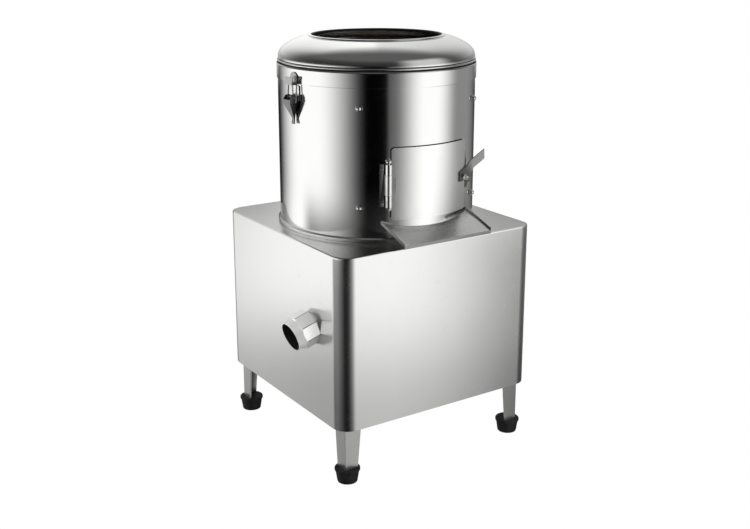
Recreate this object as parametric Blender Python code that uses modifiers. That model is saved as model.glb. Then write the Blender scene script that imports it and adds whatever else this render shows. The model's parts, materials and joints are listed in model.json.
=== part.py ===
"""Electric potato peeler: a barrel with an abrasive disc on a square cabinet, in metres, +Z up.

The machine stands on its four feet at z = 0. Its barrel axis is the machine axis, and the front, with
the discharge door and chute, faces -Y. The drain nozzle is on the -X side, the switch box on the +X side.
Stations round the barrel are angles about the machine axis, 0 at the front and positive towards +X.
"""

import math

import bmesh
import bpy
from mathutils import Matrix, Vector

# Clearances
SEAT_GAP = 0.0003
CUT_OVERRUN = 0.004
RUNNING_GAP = 0.0005

# Cabinet
CABINET_WIDTH = 0.480
CABINET_HEIGHT = 0.356
CABINET_UNDERSIDE = 0.120
CABINET_CORNER_RADIUS = 0.034
CABINET_EDGE_RADIUS = 0.004
CABINET_SHEET = 0.002
CABINET_RETURN = 0.046
CABINET_CORNER_STEPS = 5
CABINET_EDGE_STEPS = 2
ROUND_PROFILE_SHARE = 0.5
DOWNWARD_SHARE = 0.9

# Legs and feet
LEG_CORNER_INSET = 0.018
LEG_TOP_WIDTH = 0.038
LEG_FOOT_WIDTH = 0.028
LEG_SHEET = 0.003
FOOT_INSET = 0.0125
FOOT_SOLE_RADIUS = 0.0205
FOOT_RIM_RADIUS = 0.0260
FOOT_HEIGHT = 0.030
FOOT_LIP = 0.005
FOOT_SOLE_BEVEL = 0.0015
FOOT_SOCKET_FLOOR = 0.008

# Barrel and its foot ring
BARREL_RADIUS = 0.2065
BARREL_SHEET = 0.002
BARREL_TOP = 0.806
FOOT_RING_WIDTH = 0.0045
FOOT_RING_HEIGHT = 0.008

# Abrasive liner and its studs
LINER_THICKNESS = 0.005
LINER_TOP = 0.772
STUD_RADIUS = 0.003
STUD_HOLE_RADIUS = 0.0036
STUD_LOW = 0.545
STUD_HIGH = 0.743
STUD_STATIONS = (-43.0, 38.0, 137.0, -137.0)
DOME_NUT_RADIUS = 0.0055
DOME_NUT_HEIGHT = 0.0085
DOME_NUT_WASHER_RADIUS = 0.0072
DOME_NUT_WASHER = 0.0012
DOME_NUT_CROWN_SHARE = 0.8

# Lid
LID_BAND_RADIUS = 0.2085
LID_BAND_SHEET = 0.0016
LID_BAND_FOOT = 0.781
LID_FLANGE_SHEET = 0.002
LID_FLANGE_INNER_RADIUS = 0.199
LID_SHOULDER_RADIUS = 0.003
GASKET_HEIGHT = 0.005
DOME_SHEET = 0.002
DOME_BEAD_RADIUS = 0.2074
DOME_BEAD_HEIGHT = 0.0055
DOME_SKIRT_RADIUS = 0.2058
DOME_CROWN_RADIUS = 0.1396
DOME_TOP = 0.868
DOME_BULGE_POWER = 2.67
DOME_SPACING_POWER = 1.7
DOME_BEAD_TURNS = (40.0, -40.0)
MOUTH_RADIUS = 0.134
MOUTH_LIP_DROP = 0.005

# Lid latches: a keeper on the lid band, and a base, lever and bail on the barrel
LATCH_STATIONS = {"left": -85.0, "right": 95.0}
LATCH_PIVOT_HEIGHT = 0.754
LATCH_PIVOT_REACH = 0.010
LATCH_CRANK = 0.009
LATCH_OVER_CENTRE = 8.0
LATCH_PIN_RADIUS = 0.002
LATCH_EAR_SHEET = 0.0015
LATCH_EAR_GAP = 0.017
LATCH_EAR_RADIUS = 0.0045
LATCH_BASE_WIDTH = 0.030
LATCH_BASE_FOOT = 0.747
LATCH_BASE_TOP = 0.7785
LATCH_BASE_SHEET = 0.0015
LEVER_SHEET = 0.0015
LEVER_FLANGE_GAP = 0.021
LEVER_HEAD = 0.0055
LEVER_HEAD_DEPTH = 0.005
LEVER_FACE_START = 0.002
LEVER_BACK_REACH = 0.0115
LEVER_SHOULDER_DROP = 0.010
LEVER_WAIST_DROP = 0.042
LEVER_WAIST_REACH = -0.0035
LEVER_WAIST_DEPTH = 0.0028
LEVER_WAIST_HALF_WIDTH = 0.0035
LEVER_TIP_DROP = 0.053
LEVER_TIP_REACH = -0.0030
LEVER_TIP_HALF_WIDTH = 0.0055
BAIL_WIRE_RADIUS = 0.0015
BAIL_CORNER_RADIUS = 0.003
KEEPER_SHEET = 0.0016
KEEPER_WIDTH = 0.025
KEEPER_FOOT = 0.7795
KEEPER_TOP = 0.8045
KEEPER_TROUGH = 0.0100
KEEPER_LIP_HEIGHT = 0.0140

# Discharge door
DOOR_SHEET = 0.002
DOOR_LEFT_STATION = -25.5
DOOR_RIGHT_STATION = 26.0
DOOR_FOOT = 0.521
DOOR_TOP = 0.666
DOOR_CORNER_RADIUS = 0.006
DOORWAY_MARGIN = 0.009

# Door hinge
HINGE_STATION = -27.2
HINGE_REACH = 0.007
HINGE_KNUCKLE_RADIUS = 0.0064
HINGE_PIN_RADIUS = 0.003
HINGE_FOOT = 0.549
HINGE_TOP = 0.634
HINGE_DOOR_FOOT = 0.572
HINGE_DOOR_TOP = 0.6133
HINGE_LEAF_SHEET = 0.0015
HINGE_LEAF_REACH = 0.018
HINGE_LEAF_RELIEF = 0.0072
HINGE_DOOR_LEAF_FOOT = 0.579
HINGE_DOOR_LEAF_TOP = 0.606
HINGE_DOOR_LEAF_REACH = 0.016
HINGE_BALL_RADIUS = 0.0052
HINGE_TIP_LENGTH = 0.008
HINGE_TIP_SHARES = ((1, 0), (0.8, 0.5), (0.4, 0.85), (0, 1))

# Door lever and its keeper
LEVER_STATION = 23.0
LEVER_PIVOT_RISE = 0.069
DOOR_LEVER_SHEET = 0.0025
DOOR_LEVER_STANDOFF = 0.0004
DOOR_LEVER_BACK = 0.0125
DOOR_LEVER_BACK_TOP = 0.0114
DOOR_LEVER_BACK_FOOT = 0.010
DOOR_LEVER_TOP_CORNER = 0.003
DOOR_LEVER_FOOT_CORNER = 0.002
DOOR_LEVER_BEND = 0.0347
DOOR_LEVER_BEND_FOOT = 0.002
DOOR_LEVER_BEND_TOP = 0.029
DOOR_LEVER_KNEE = (0.008, 0.017)
DOOR_LEVER_UNDERSIDE = ((0.002, -0.009), (0.018, -0.006), (0.030, -0.0055))
DOOR_LEVER_GRIP = ((0.0315, 0.0495), (0.0325, 0.030), (0.030, 0.027), (0.008, 0.013))
DOOR_LEVER_GRIP_OUT = 30.0
LEVER_BOLT_RADIUS = 0.003
LEVER_BOLT_PROUD = 0.006
LEVER_NUT_RADIUS = 0.0065
LEVER_NUT_HEIGHT = 0.0055
HOOK_STATION = 29.6
HOOK_WIDTH = 0.007
HOOK_SHEET = 0.0017
HOOK_SLOT = 0.0074
HOOK_FLOOR_DROP = 0.013
HOOK_LIP_RISE = 0.0055
HOOK_BASE_LENGTH = 0.014

# Chute
CHUTE_HALF_WIDTH = 0.107
CHUTE_PROJECTION = 0.0515
CHUTE_ROOT_HEIGHT = 0.5035
CHUTE_FRONT_HEIGHT = 0.4865
CHUTE_LIP = 0.006
CHUTE_HEM = 0.006
CHUTE_SHEET = 0.0015

# Sump pan under the disc
SUMP_RADIUS = 0.190
SUMP_DEPTH = 0.080
SUMP_SHEET = 0.002

# Drain pipe and nozzle
DRAIN_FORWARD = 0.126
DRAIN_HEIGHT = 0.313
DRAIN_DIP = 18.0
DRAIN_PIPE_RADIUS = 0.0245
DRAIN_PIPE_WALL = 0.002
DRAIN_INLET_BACK = 0.130
DRAIN_BEND_RADIUS = 0.028
DRAIN_SOCKET_DEPTH = 0.0285
NOZZLE_START = 0.001
NOZZLE_SHOULDER = 0.0345
NOZZLE_SHOULDER_BEVEL = 0.002
NOZZLE_MOUTH = 0.050
NOZZLE_SHOULDER_RADIUS = 0.0340
NOZZLE_BODY_RADIUS = 0.0365
NOZZLE_FLAT_REACH = 0.0340
NOZZLE_FLATS = 8
NOZZLE_FLAT_TURN = 10.0
NOZZLE_MOUTH_RADIUS = 0.0303
NOZZLE_MOUTH_BORE = 0.0285

# Spindle, bearings and disc
SPINDLE_RADIUS = 0.0125
SPINDLE_TAIL = 0.0055
SPINDLE_BEVEL = 0.001
SPINDLE_STUB_RADIUS = 0.008
HOUSING_NECK_RADIUS = 0.031
HOUSING_NECK_RISE = 0.014
HOUSING_FLANGE_RADIUS = 0.060
HOUSING_FLANGE = 0.010
HOUSING_BODY_RADIUS = 0.038
HOUSING_DROP = 0.074
HOUSING_TAPER = 0.003
HOUSING_WEB_RADIUS = 0.020
BEARING_RADIUS = 0.026
BEARING_WIDTH = 0.015
SEAL_WIDTH = 0.007
CARRIER_HEIGHT = 0.4997
CARRIER_SHEET = 0.006
CARRIER_RIM_MARGIN = 0.008
CARRIER_HUB_RADIUS = 0.028
CARRIER_HUB_LENGTH = 0.030
SWEEPER_SHEET = 0.005
SWEEPER_DROP = 0.020
DISC_LINER_GAP = 0.006
DISC_THICKNESS = 0.012
DISC_EDGE_RADIUS = 0.003
DISC_WAVES = 3
DISC_WAVE_HEIGHT = 0.011
DISC_RING_SHARES = (0, 0.2, 0.4, 0.65, 0.88, 1)
WAVE_RISE_SHARE = 0.4
WAVE_FALL_SHARE = 0.8
WAVE_RIM_SHARE = 0.55
WAVE_CREST_POWER = 3
DISC_BOSS_RADIUS = 0.034
DISC_BOSS_HEIGHT = 0.005
DISC_NUT_RADIUS = 0.020
DISC_NUT_HEIGHT = 0.020
DISC_NUT_FLANGE = 0.004
DISC_NUT_DOME_SHARE = 0.7
DISC_NUT_CROWN_SHARES = ((0.6, 0.4), (0.95, 1.4))

# Belt drive
PULLEY_CLEARANCE = 0.011
PULLEY_WIDTH = 0.022
GROOVE_HALF_WIDTH = 0.0075
GROOVE_ROOT_HALF_WIDTH = 0.0040
GROOVE_DEPTH = 0.011
DRIVEN_PULLEY_RADIUS = 0.095
DRIVEN_HUB_RADIUS = 0.024
DRIVEN_WEB = 0.006
DRIVEN_RIM = 0.018
DRIVEN_HOLES = 4
MOTOR_PULLEY_RADIUS = 0.030
MOTOR_PULLEY_HUB = 0.006
BELT_TOP_INSET = 0.001
BELT_DEPTH = 0.0075
BELT_SIDE_GAP = 0.0004

# Motor
MOTOR_DISTANCE = 0.165
MOTOR_STATION = 135.0
MOTOR_SHAFT_RADIUS = 0.0095
MOTOR_CORE_RADIUS = 0.058
MOTOR_FIN_RADIUS = 0.0645
MOTOR_FINS = 16
MOTOR_LENGTH = 0.1185
MOTOR_FIN_SHARE = 0.22
MOTOR_FLANGE_RADIUS = 0.062
MOTOR_FLANGE = 0.012
FAN_COVER_SHEET = 0.0015
FAN_COVER_DROP = 0.032
FAN_COVER_LAP = 0.006
FAN_COVER_SLOTS = 4
FAN_RADIUS = 0.054
FAN_BLADES = 6
FAN_HEIGHT = 0.012
FAN_SHEET = 0.002
FAN_HUB_RADIUS = 0.014
TERMINAL_BOX_WIDTH = 0.060
TERMINAL_BOX_HEIGHT = 0.055
TERMINAL_BOX_DEPTH = 0.034

# Motor bracket on the right wall
BRACKET_SHEET = 0.005
BRACKET_CLEARANCE = 0.0075
BRACKET_RISE = 0.052
BRACKET_INNER = 0.045
BRACKET_FRONT = 0.045
BRACKET_BACK = 0.190
BRACKET_BORE = 0.030

# Switch box
SWITCH_WIDTH = 0.074
SWITCH_HEIGHT = 0.116
SWITCH_DEPTH = 0.040
SWITCH_FORWARD = 0.060
SWITCH_MIDDLE = 0.388
SWITCH_CORNER_RADIUS = 0.008
SWITCH_BUTTON_SPACING = 0.046
SWITCH_SOCKET_DEPTH = 0.018
SWITCH_BEZEL_RADIUS = 0.0165
SWITCH_BEZEL = 0.0035
BUTTON_RADIUS = 0.0115
BUTTON_PROUD = 0.0045
BUTTON_TRAVEL = 0.003
MUSHROOM_RADIUS = 0.0175
MUSHROOM_HEIGHT = 0.008
MUSHROOM_STEM_RADIUS = 0.0095
MUSHROOM_CAP_SHARES = ((0.5, 0.97), (0.8, 0.85), (0.96, 0.6), (1, 0.35), (1, 0.12), (0.94, 0))

# Rear service panel, cable gland and water inlet
PANEL_WIDTH = 0.300
PANEL_HEIGHT = 0.210
PANEL_MIDDLE = 0.272
PANEL_LAP = 0.014
PANEL_SHEET = 0.0015
PANEL_CORNER_RADIUS = 0.010
LOUVRE_COUNT = 5
LOUVRE_WIDTH = 0.110
LOUVRE_SLOT = 0.005
LOUVRE_PITCH = 0.018
LOUVRE_OFFSET_SHARE = 0.6
GLAND_OFFSET = 0.190
GLAND_HEIGHT = 0.190
GLAND_THREAD_RADIUS = 0.0095
GLAND_HEX_RADIUS = 0.0135
GLAND_CAP_RADIUS = 0.0115
GLAND_REACH = 0.024
GLAND_HEX = 0.008
GLAND_TAIL = 0.010
GLAND_BORE = 0.0045
GLAND_MOUTH_SHARE = 0.7
INLET_HEIGHT = 0.735
INLET_RADIUS = 0.0105
INLET_BORE = 0.0075
INLET_REACH = 0.046
INLET_COLLAR_RADIUS = 0.0165
INLET_COLLAR = 0.008
INLET_BARB = 0.0015
INLET_BARB_SHARE = 0.8
INLET_FLAT_SHARE = 0.9

# Facet counts
ROUND_LARGE = 40
ROUND_DISC = 36
ROUND_MEDIUM = 24
ROUND_SMALL = 16
ROUND_TINY = 8
HEX_FLATS = 6

# Levels and radii that follow from the sizes above
CABINET_TOP = CABINET_UNDERSIDE + CABINET_HEIGHT
CABINET_HALF = CABINET_WIDTH / 2
INNER_WALL = CABINET_HALF - CABINET_SHEET
BARREL_FOOT = CABINET_TOP + SEAT_GAP
BARREL_INNER = BARREL_RADIUS - BARREL_SHEET
LINER_OUTER = BARREL_INNER - SEAT_GAP
LINER_INNER = LINER_OUTER - LINER_THICKNESS
SUMP_FLANGE_TOP = CABINET_TOP + SEAT_GAP + SUMP_SHEET
SUMP_UNDERSIDE = CABINET_TOP - SUMP_DEPTH
HOUSING_FOOT = SUMP_UNDERSIDE - HOUSING_DROP
PULLEY_HEIGHT = HOUSING_FOOT - PULLEY_CLEARANCE - PULLEY_WIDTH / 2
PULLEY_FOOT = PULLEY_HEIGHT - PULLEY_WIDTH / 2
SPINDLE_FOOT = PULLEY_FOOT - SPINDLE_TAIL
BRACKET_TOP = PULLEY_FOOT - BRACKET_CLEARANCE
MOTOR_FOOT = BRACKET_TOP - BRACKET_SHEET - MOTOR_LENGTH
GASKET_FOOT = BARREL_TOP + SEAT_GAP
LID_FLANGE_UNDERSIDE = GASKET_FOOT + GASKET_HEIGHT + SEAT_GAP
LID_FLANGE_TOP = LID_FLANGE_UNDERSIDE + LID_FLANGE_SHEET
DOME_FOOT = LID_FLANGE_TOP + SEAT_GAP
DOOR_INNER = BARREL_RADIUS + SEAT_GAP
DOOR_OUTER = DOOR_INNER + DOOR_SHEET
LEVER_PIVOT_HEIGHT = DOOR_FOOT + LEVER_PIVOT_RISE
CHUTE_FRONT_REACH = BARREL_RADIUS + CHUTE_PROJECTION
WELD = SEAT_GAP / 30
DISC_RADIUS = LINER_INNER - DISC_LINER_GAP
DISC_FOOT = CARRIER_HEIGHT + SEAT_GAP
DISC_TOP = DISC_FOOT + DISC_THICKNESS
NOZZLE_REACH = (
    CABINET_HALF
    + NOZZLE_MOUTH * math.cos(math.radians(DRAIN_DIP))
    + NOZZLE_MOUTH_RADIUS * math.sin(math.radians(DRAIN_DIP))
)
SWITCH_FACE = CABINET_HALF + SEAT_GAP + SWITCH_DEPTH
SWITCH_REACH = SWITCH_FACE + SWITCH_BEZEL + BUTTON_TRAVEL + MUSHROOM_HEIGHT
CHUTE_REACH = CHUTE_FRONT_REACH + CHUTE_SHEET / 2
REAR_REACH = CABINET_HALF + GLAND_REACH

# The origin is under the middle of the whole machine, so the machine axis lies a little beside it
AXIS_X = (NOZZLE_REACH - SWITCH_REACH) / 2
AXIS_Y = (CHUTE_REACH - REAR_REACH) / 2

FINISHES = {
    "satin_steel": ((0.62, 0.61, 0.59), 0.28, 1.0),
    "polished_steel": ((0.70, 0.69, 0.67), 0.14, 1.0),
    "plated_steel": ((0.55, 0.55, 0.54), 0.35, 1.0),
    "cast_grey": ((0.30, 0.31, 0.32), 0.60, 0.4),
    "motor_paint": ((0.16, 0.20, 0.24), 0.50, 0.2),
    "grit_liner": ((0.20, 0.19, 0.18), 0.92, 0.0),
    "grit_disc": ((0.24, 0.22, 0.20), 0.95, 0.0),
    "black_rubber": ((0.025, 0.025, 0.027), 0.75, 0.0),
    "black_plastic": ((0.04, 0.04, 0.045), 0.45, 0.0),
    "grey_plastic": ((0.45, 0.46, 0.47), 0.45, 0.0),
    "green_plastic": ((0.05, 0.42, 0.14), 0.35, 0.0),
    "red_plastic": ((0.60, 0.04, 0.03), 0.35, 0.0),
}


def polar(radius, degrees):
    """Point of a circle in the plan view, counted like the stations: 0 at the front, positive to +X."""
    angle = math.radians(degrees)
    return Vector((radius * math.sin(angle), -radius * math.cos(angle), 0))


def clear_scene():
    for item in list(bpy.data.objects):
        bpy.data.objects.remove(item, do_unlink=True)


def new_collection(name):
    group = bpy.data.collections.new(name)
    bpy.context.scene.collection.children.link(group)
    return group


def finish_material(name, finish):
    colour, roughness, metallic = FINISHES[finish]
    material = bpy.data.materials.new(name)
    material.use_nodes = True
    shader = material.node_tree.nodes["Principled BSDF"]
    shader.inputs["Base Color"].default_value = (*colour, 1)
    shader.inputs["Roughness"].default_value = roughness
    shader.inputs["Metallic"].default_value = metallic
    return material


clear_scene()
PARTS = new_collection("potato_peeler")
CUTTERS = new_collection("cutters")


def empty(name, location, rotation=(0, 0, 0), parent=None):
    """Frame that carries pieces: the machine axis, a station on the barrel or a joint axis."""
    frame = bpy.data.objects.new(name, None)
    frame.location = location
    frame.rotation_euler = rotation
    frame.parent = parent
    PARTS.objects.link(frame)
    return frame


MACHINE = empty("machine_axis", (AXIS_X, AXIS_Y, 0))


def station(name, degrees):
    """Frame turned about the machine axis: its -Y points out of the barrel at this station."""
    return empty(name, (0, 0, 0), (0, 0, math.radians(degrees)), MACHINE)


def place(name, mesh, finish, parent=MACHINE, location=(0, 0, 0), rotation=(0, 0, 0)):
    """Piece of the machine with its own material."""
    piece = bpy.data.objects.new(name, mesh)
    piece.parent = parent
    piece.location = location
    piece.rotation_euler = rotation
    PARTS.objects.link(piece)
    mesh.materials.append(finish_material(name, finish))
    return piece


def tool(name, mesh, parent=MACHINE, location=(0, 0, 0), rotation=(0, 0, 0)):
    """Cutter or guide, which isn't a piece of the machine."""
    cutter = bpy.data.objects.new(name, mesh)
    cutter.parent = parent
    cutter.location = location
    cutter.rotation_euler = rotation
    cutter.hide_render = True
    cutter.display_type = "WIRE"
    CUTTERS.objects.link(cutter)
    return cutter


def combine(piece, cutter, operation="DIFFERENCE"):
    modifier = piece.modifiers.new(cutter.name, "BOOLEAN")
    modifier.operation = operation
    modifier.object = cutter
    return modifier


def mesh_from(bm, name):
    bmesh.ops.recalc_face_normals(bm, faces=bm.faces)
    mesh = bpy.data.meshes.new(name)
    bm.to_mesh(mesh)
    bm.free()
    return mesh


def smooth(mesh, degrees=35):
    mesh.shade_smooth()
    mesh.set_sharp_from_angle(angle=math.radians(degrees))
    return mesh


def block(name, low, high):
    """Box between two corners."""
    bm = bmesh.new()
    bmesh.ops.create_cube(bm, size=1)
    for vertex in bm.verts:
        for axis in range(3):
            middle = (low[axis] + high[axis]) / 2
            vertex.co[axis] = middle + vertex.co[axis] * (high[axis] - low[axis])
    return mesh_from(bm, name)


def rod(name, radius, start, end, segments=ROUND_SMALL, end_radius=None):
    """Cylinder or cone along Z, from start to end, with flat caps."""
    bm = bmesh.new()
    tip = radius if end_radius is None else end_radius
    bmesh.ops.create_cone(
        bm, cap_ends=True, segments=segments, radius1=radius, radius2=tip, depth=end - start
    )
    bmesh.ops.translate(bm, verts=bm.verts, vec=(0, 0, (start + end) / 2))
    return smooth(mesh_from(bm, name))


def profile_mesh(name, points, closed):
    """Edge loop at +X for a Screw modifier: (radius, height) points, down the outer side."""
    bm = bmesh.new()
    verts = [bm.verts.new((radius, 0, height)) for radius, height in points]
    for first, second in zip(verts, verts[1:]):
        bm.edges.new((first, second))
    if closed:
        bm.edges.new((verts[-1], verts[0]))
    mesh = bpy.data.meshes.new(name)
    bm.to_mesh(mesh)
    bm.free()
    return mesh


def turn(piece, segments):
    """Revolves the profile of a piece about its own Z axis."""
    screw = piece.modifiers.new("turned", "SCREW")
    screw.axis = "Z"
    screw.angle = 2 * math.pi
    screw.steps = segments
    screw.render_steps = segments
    screw.use_merge_vertices = True
    screw.merge_threshold = WELD
    screw.use_smooth_shade = True
    return piece


def turned_mesh(name, points, segments, closed=True):
    """Mesh of a turned shape, for pieces that are reshaped after they are turned."""
    blank = tool(name + "_blank", profile_mesh(name, points, closed), None)
    turn(blank, segments)
    return taken(blank)


def taken(blank):
    """Evaluated mesh of an object, welded, with the object itself removed."""
    bpy.context.view_layer.update()
    seen = blank.evaluated_get(bpy.context.evaluated_depsgraph_get())
    mesh = bpy.data.meshes.new_from_object(seen)
    data = blank.data
    bpy.data.objects.remove(blank, do_unlink=True)
    if isinstance(data, bpy.types.Curve):
        bpy.data.curves.remove(data)
    bm = bmesh.new()
    bm.from_mesh(mesh)
    bmesh.ops.remove_doubles(bm, verts=bm.verts, dist=WELD)
    bmesh.ops.recalc_face_normals(bm, faces=bm.faces)
    bm.to_mesh(mesh)
    bm.free()
    mesh.materials.clear()
    return mesh


def prism(name, outline, thickness):
    """Flat outline in the XY plane with its thickness along Z, centred on the plane."""
    curve = bpy.data.curves.new(name, "CURVE")
    curve.dimensions = "2D"
    curve.fill_mode = "BOTH"
    curve.extrude = thickness / 2
    spline = curve.splines.new("POLY")
    spline.points.add(len(outline) - 1)
    for point, (x, y) in zip(spline.points, outline):
        point.co = (x, y, 0, 1)
    spline.use_cyclic_u = True
    blank = bpy.data.objects.new(name, curve)
    CUTTERS.objects.link(blank)
    return taken(blank)


def moved(mesh, matrix):
    mesh.transform(matrix)
    return mesh


def upright(mesh):
    """Turns a prism of an (across, height) outline so that it stands, its thickness along Y."""
    return moved(mesh, Matrix.Rotation(math.pi / 2, 4, "X"))


def sideways(mesh):
    """Turns a prism of an (outward, height) outline so that outward is -Y and its thickness is along X."""
    stand = Matrix.Rotation(math.pi / 2, 4, "X")
    return moved(mesh, Matrix.Rotation(-math.pi / 2, 4, "Z") @ stand)


def arc(centre, radius, start, end, steps):
    """Points of an arc, angles in degrees, ends included."""
    points = []
    for step in range(steps + 1):
        angle = math.radians(start + (end - start) * step / steps)
        points.append((centre[0] + radius * math.cos(angle), centre[1] + radius * math.sin(angle)))
    return points


def rounded_rectangle(low, high, radius, steps=4):
    corners = (
        ((high[0] - radius, high[1] - radius), 0),
        ((low[0] + radius, high[1] - radius), 90),
        ((low[0] + radius, low[1] + radius), 180),
        ((high[0] - radius, low[1] + radius), 270),
    )
    points = []
    for centre, start in corners:
        points += arc(centre, radius, start, start + 90, steps)
    return points


def regular_polygon(apothem, sides):
    """Corners of a regular polygon with this distance from its middle to each flat."""
    radius = apothem / math.cos(math.pi / sides)
    step = 360 / sides
    return [arc((0, 0), radius, step * (side + 1 / 2), 0, 1)[0] for side in range(sides)]


def solidify(piece, thickness, offset):
    modifier = piece.modifiers.new("sheet", "SOLIDIFY")
    modifier.thickness = thickness
    modifier.offset = offset
    modifier.use_even_offset = True
    return modifier


def ring(name, outer, inner, foot, top, finish, segments=ROUND_LARGE, parent=MACHINE):
    """Plain turned ring."""
    points = [(outer, top), (outer, foot), (inner, foot), (inner, top)]
    return turn(place(name, profile_mesh(name, points, True), finish, parent), segments)


def make_cabinet():
    """Folded sheet cabinet: closed top, rounded corners, and a return flange round its open underside."""
    bm = bmesh.new()
    bmesh.ops.create_cube(bm, size=1)
    for vertex in bm.verts:
        vertex.co = (
            vertex.co.x * CABINET_WIDTH,
            vertex.co.y * CABINET_WIDTH,
            CABINET_UNDERSIDE + (vertex.co.z + 1 / 2) * CABINET_HEIGHT,
        )
    middle = CABINET_UNDERSIDE + CABINET_HEIGHT / 2
    uprights = [
        edge
        for edge in bm.edges
        if (edge.verts[0].co.z - middle) * (edge.verts[1].co.z - middle) < 0
    ]
    bmesh.ops.bevel(
        bm,
        geom=uprights,
        offset=CABINET_CORNER_RADIUS,
        segments=CABINET_CORNER_STEPS,
        profile=ROUND_PROFILE_SHARE,
        affect="EDGES",
    )
    rim = [edge for edge in bm.edges if all(v.co.z > middle for v in edge.verts)]
    bmesh.ops.bevel(
        bm,
        geom=rim,
        offset=CABINET_EDGE_RADIUS,
        segments=CABINET_EDGE_STEPS,
        profile=ROUND_PROFILE_SHARE,
        affect="EDGES",
    )
    underside = [face for face in bm.faces if face.normal.z < -DOWNWARD_SHARE]
    bmesh.ops.inset_region(bm, faces=underside, thickness=CABINET_RETURN)
    bmesh.ops.delete(bm, geom=underside, context="FACES")
    mesh = bpy.data.meshes.new("cabinet_shell")
    bm.to_mesh(mesh)
    bm.free()
    smooth(mesh)
    cabinet = place("cabinet_shell", mesh, "satin_steel")
    solidify(cabinet, CABINET_SHEET, -1)

    well = SUMP_RADIUS + SEAT_GAP
    combine(
        cabinet,
        tool(
            "cut_sump_well",
            rod("cut_sump_well", well, CABINET_TOP - CUT_OVERRUN, CABINET_TOP + CUT_OVERRUN, ROUND_LARGE),
        ),
    )
    pipe_hole = rod(
        "cut_drain_hole",
        DRAIN_PIPE_RADIUS + SEAT_GAP,
        -CABINET_CORNER_RADIUS,
        CABINET_CORNER_RADIUS,
        ROUND_MEDIUM,
    )
    combine(cabinet, tool("cut_drain_hole", pipe_hole, DRAIN_AXIS))
    half_width = PANEL_WIDTH / 2 - PANEL_LAP
    half_height = PANEL_HEIGHT / 2 - PANEL_LAP
    window = block(
        "cut_service_window",
        (-half_width, INNER_WALL - CUT_OVERRUN, PANEL_MIDDLE - half_height),
        (half_width, CABINET_HALF + CUT_OVERRUN, PANEL_MIDDLE + half_height),
    )
    combine(cabinet, tool("cut_service_window", window))
    gland_hole = rod(
        "cut_gland_hole",
        GLAND_THREAD_RADIUS + SEAT_GAP,
        -CABINET_SHEET - CUT_OVERRUN,
        CUT_OVERRUN,
        ROUND_SMALL,
    )
    combine(cabinet, tool("cut_gland_hole", gland_hole, GLAND_AXIS))
    return cabinet


DRAIN_AXIS = empty(
    "drain_axis",
    (-CABINET_HALF, -DRAIN_FORWARD, DRAIN_HEIGHT),
    (0, -math.radians(90 + DRAIN_DIP), 0),
    MACHINE,
)
GLAND_AXIS = empty("gland_axis", (GLAND_OFFSET, CABINET_HALF, GLAND_HEIGHT), (-math.pi / 2, 0, 0), MACHINE)
INLET_AXIS = empty("inlet_axis", (0, BARREL_RADIUS, INLET_HEIGHT), (-math.pi / 2, 0, 0), MACHINE)
SWITCH_AXIS = empty(
    "switch_axis", (CABINET_HALF + SEAT_GAP, -SWITCH_FORWARD, SWITCH_MIDDLE), (0, math.pi / 2, 0), MACHINE
)
MOTOR_AXIS = empty("motor_axis", polar(MOTOR_DISTANCE, MOTOR_STATION), (0, 0, 0), MACHINE)


def leg_form(name, clearance):
    """Tapered angle section with its sharp outer corner at the origin, opening towards +X and +Y.

    It is the leg itself at zero clearance, and the socket that takes it when it has one.
    """
    foot = FOOT_SOCKET_FLOOR + SEAT_GAP - clearance
    top = CABINET_UNDERSIDE - SEAT_GAP
    outer = tapered_block(name, -clearance, LEG_FOOT_WIDTH, LEG_TOP_WIDTH, foot, top, clearance)
    sheet = LEG_SHEET + clearance
    hollow_top = top - LEG_SHEET
    inner = tapered_block(
        name + "_hollow", sheet, LEG_TOP_WIDTH * 2, LEG_TOP_WIDTH * 2, foot - CUT_OVERRUN, hollow_top, 0
    )
    return outer, inner


def tapered_block(name, corner, foot_width, top_width, foot, top, clearance):
    """Block whose two outer faces stay at the corner while its inner faces lean out towards the top."""
    bm = bmesh.new()
    bmesh.ops.create_cube(bm, size=1)
    for vertex in bm.verts:
        upper = vertex.co.z > 0
        width = (top_width if upper else foot_width) + clearance
        vertex.co = (
            width if vertex.co.x > 0 else corner,
            width if vertex.co.y > 0 else corner,
            top if upper else foot,
        )
    return mesh_from(bm, name)


def make_legs():
    """Four angle legs, each with a plate inside its top, standing in rubber feet."""
    corner = CABINET_HALF - LEG_CORNER_INSET
    corners = {"front_left": 0, "front_right": 90, "rear_right": 180, "rear_left": 270}
    for name, degrees in corners.items():
        turnabout = math.radians(degrees)
        spot = Matrix.Rotation(turnabout, 4, "Z") @ Vector((-corner, -corner, 0))
        leg_frame = empty("leg_frame_" + name, spot, (0, 0, turnabout), MACHINE)
        outer, inner = leg_form("leg_" + name, 0)
        leg = place("leg_" + name, outer, "satin_steel", leg_frame)
        combine(leg, tool("cut_leg_" + name, inner, leg_frame))

        foot_lip = FOOT_HEIGHT - FOOT_LIP
        points = [
            (0, FOOT_HEIGHT),
            (FOOT_RIM_RADIUS, FOOT_HEIGHT),
            (FOOT_RIM_RADIUS, foot_lip),
            (FOOT_RIM_RADIUS - FOOT_SOLE_BEVEL, foot_lip - FOOT_SOLE_BEVEL),
            (FOOT_SOLE_RADIUS, FOOT_SOLE_BEVEL),
            (FOOT_SOLE_RADIUS - FOOT_SOLE_BEVEL, 0),
            (0, 0),
        ]
        place_foot = (FOOT_INSET, FOOT_INSET, 0)
        section = profile_mesh("foot_" + name, points, False)
        foot = place("foot_" + name, section, "black_rubber", leg_frame, place_foot)
        turn(foot, ROUND_SMALL)
        socket, core = leg_form("cut_socket_" + name, SEAT_GAP)
        socket_cutter = tool("cut_socket_" + name, socket, leg_frame)
        combine(socket_cutter, tool("cut_socket_core_" + name, core, leg_frame))
        combine(foot, socket_cutter)


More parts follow.
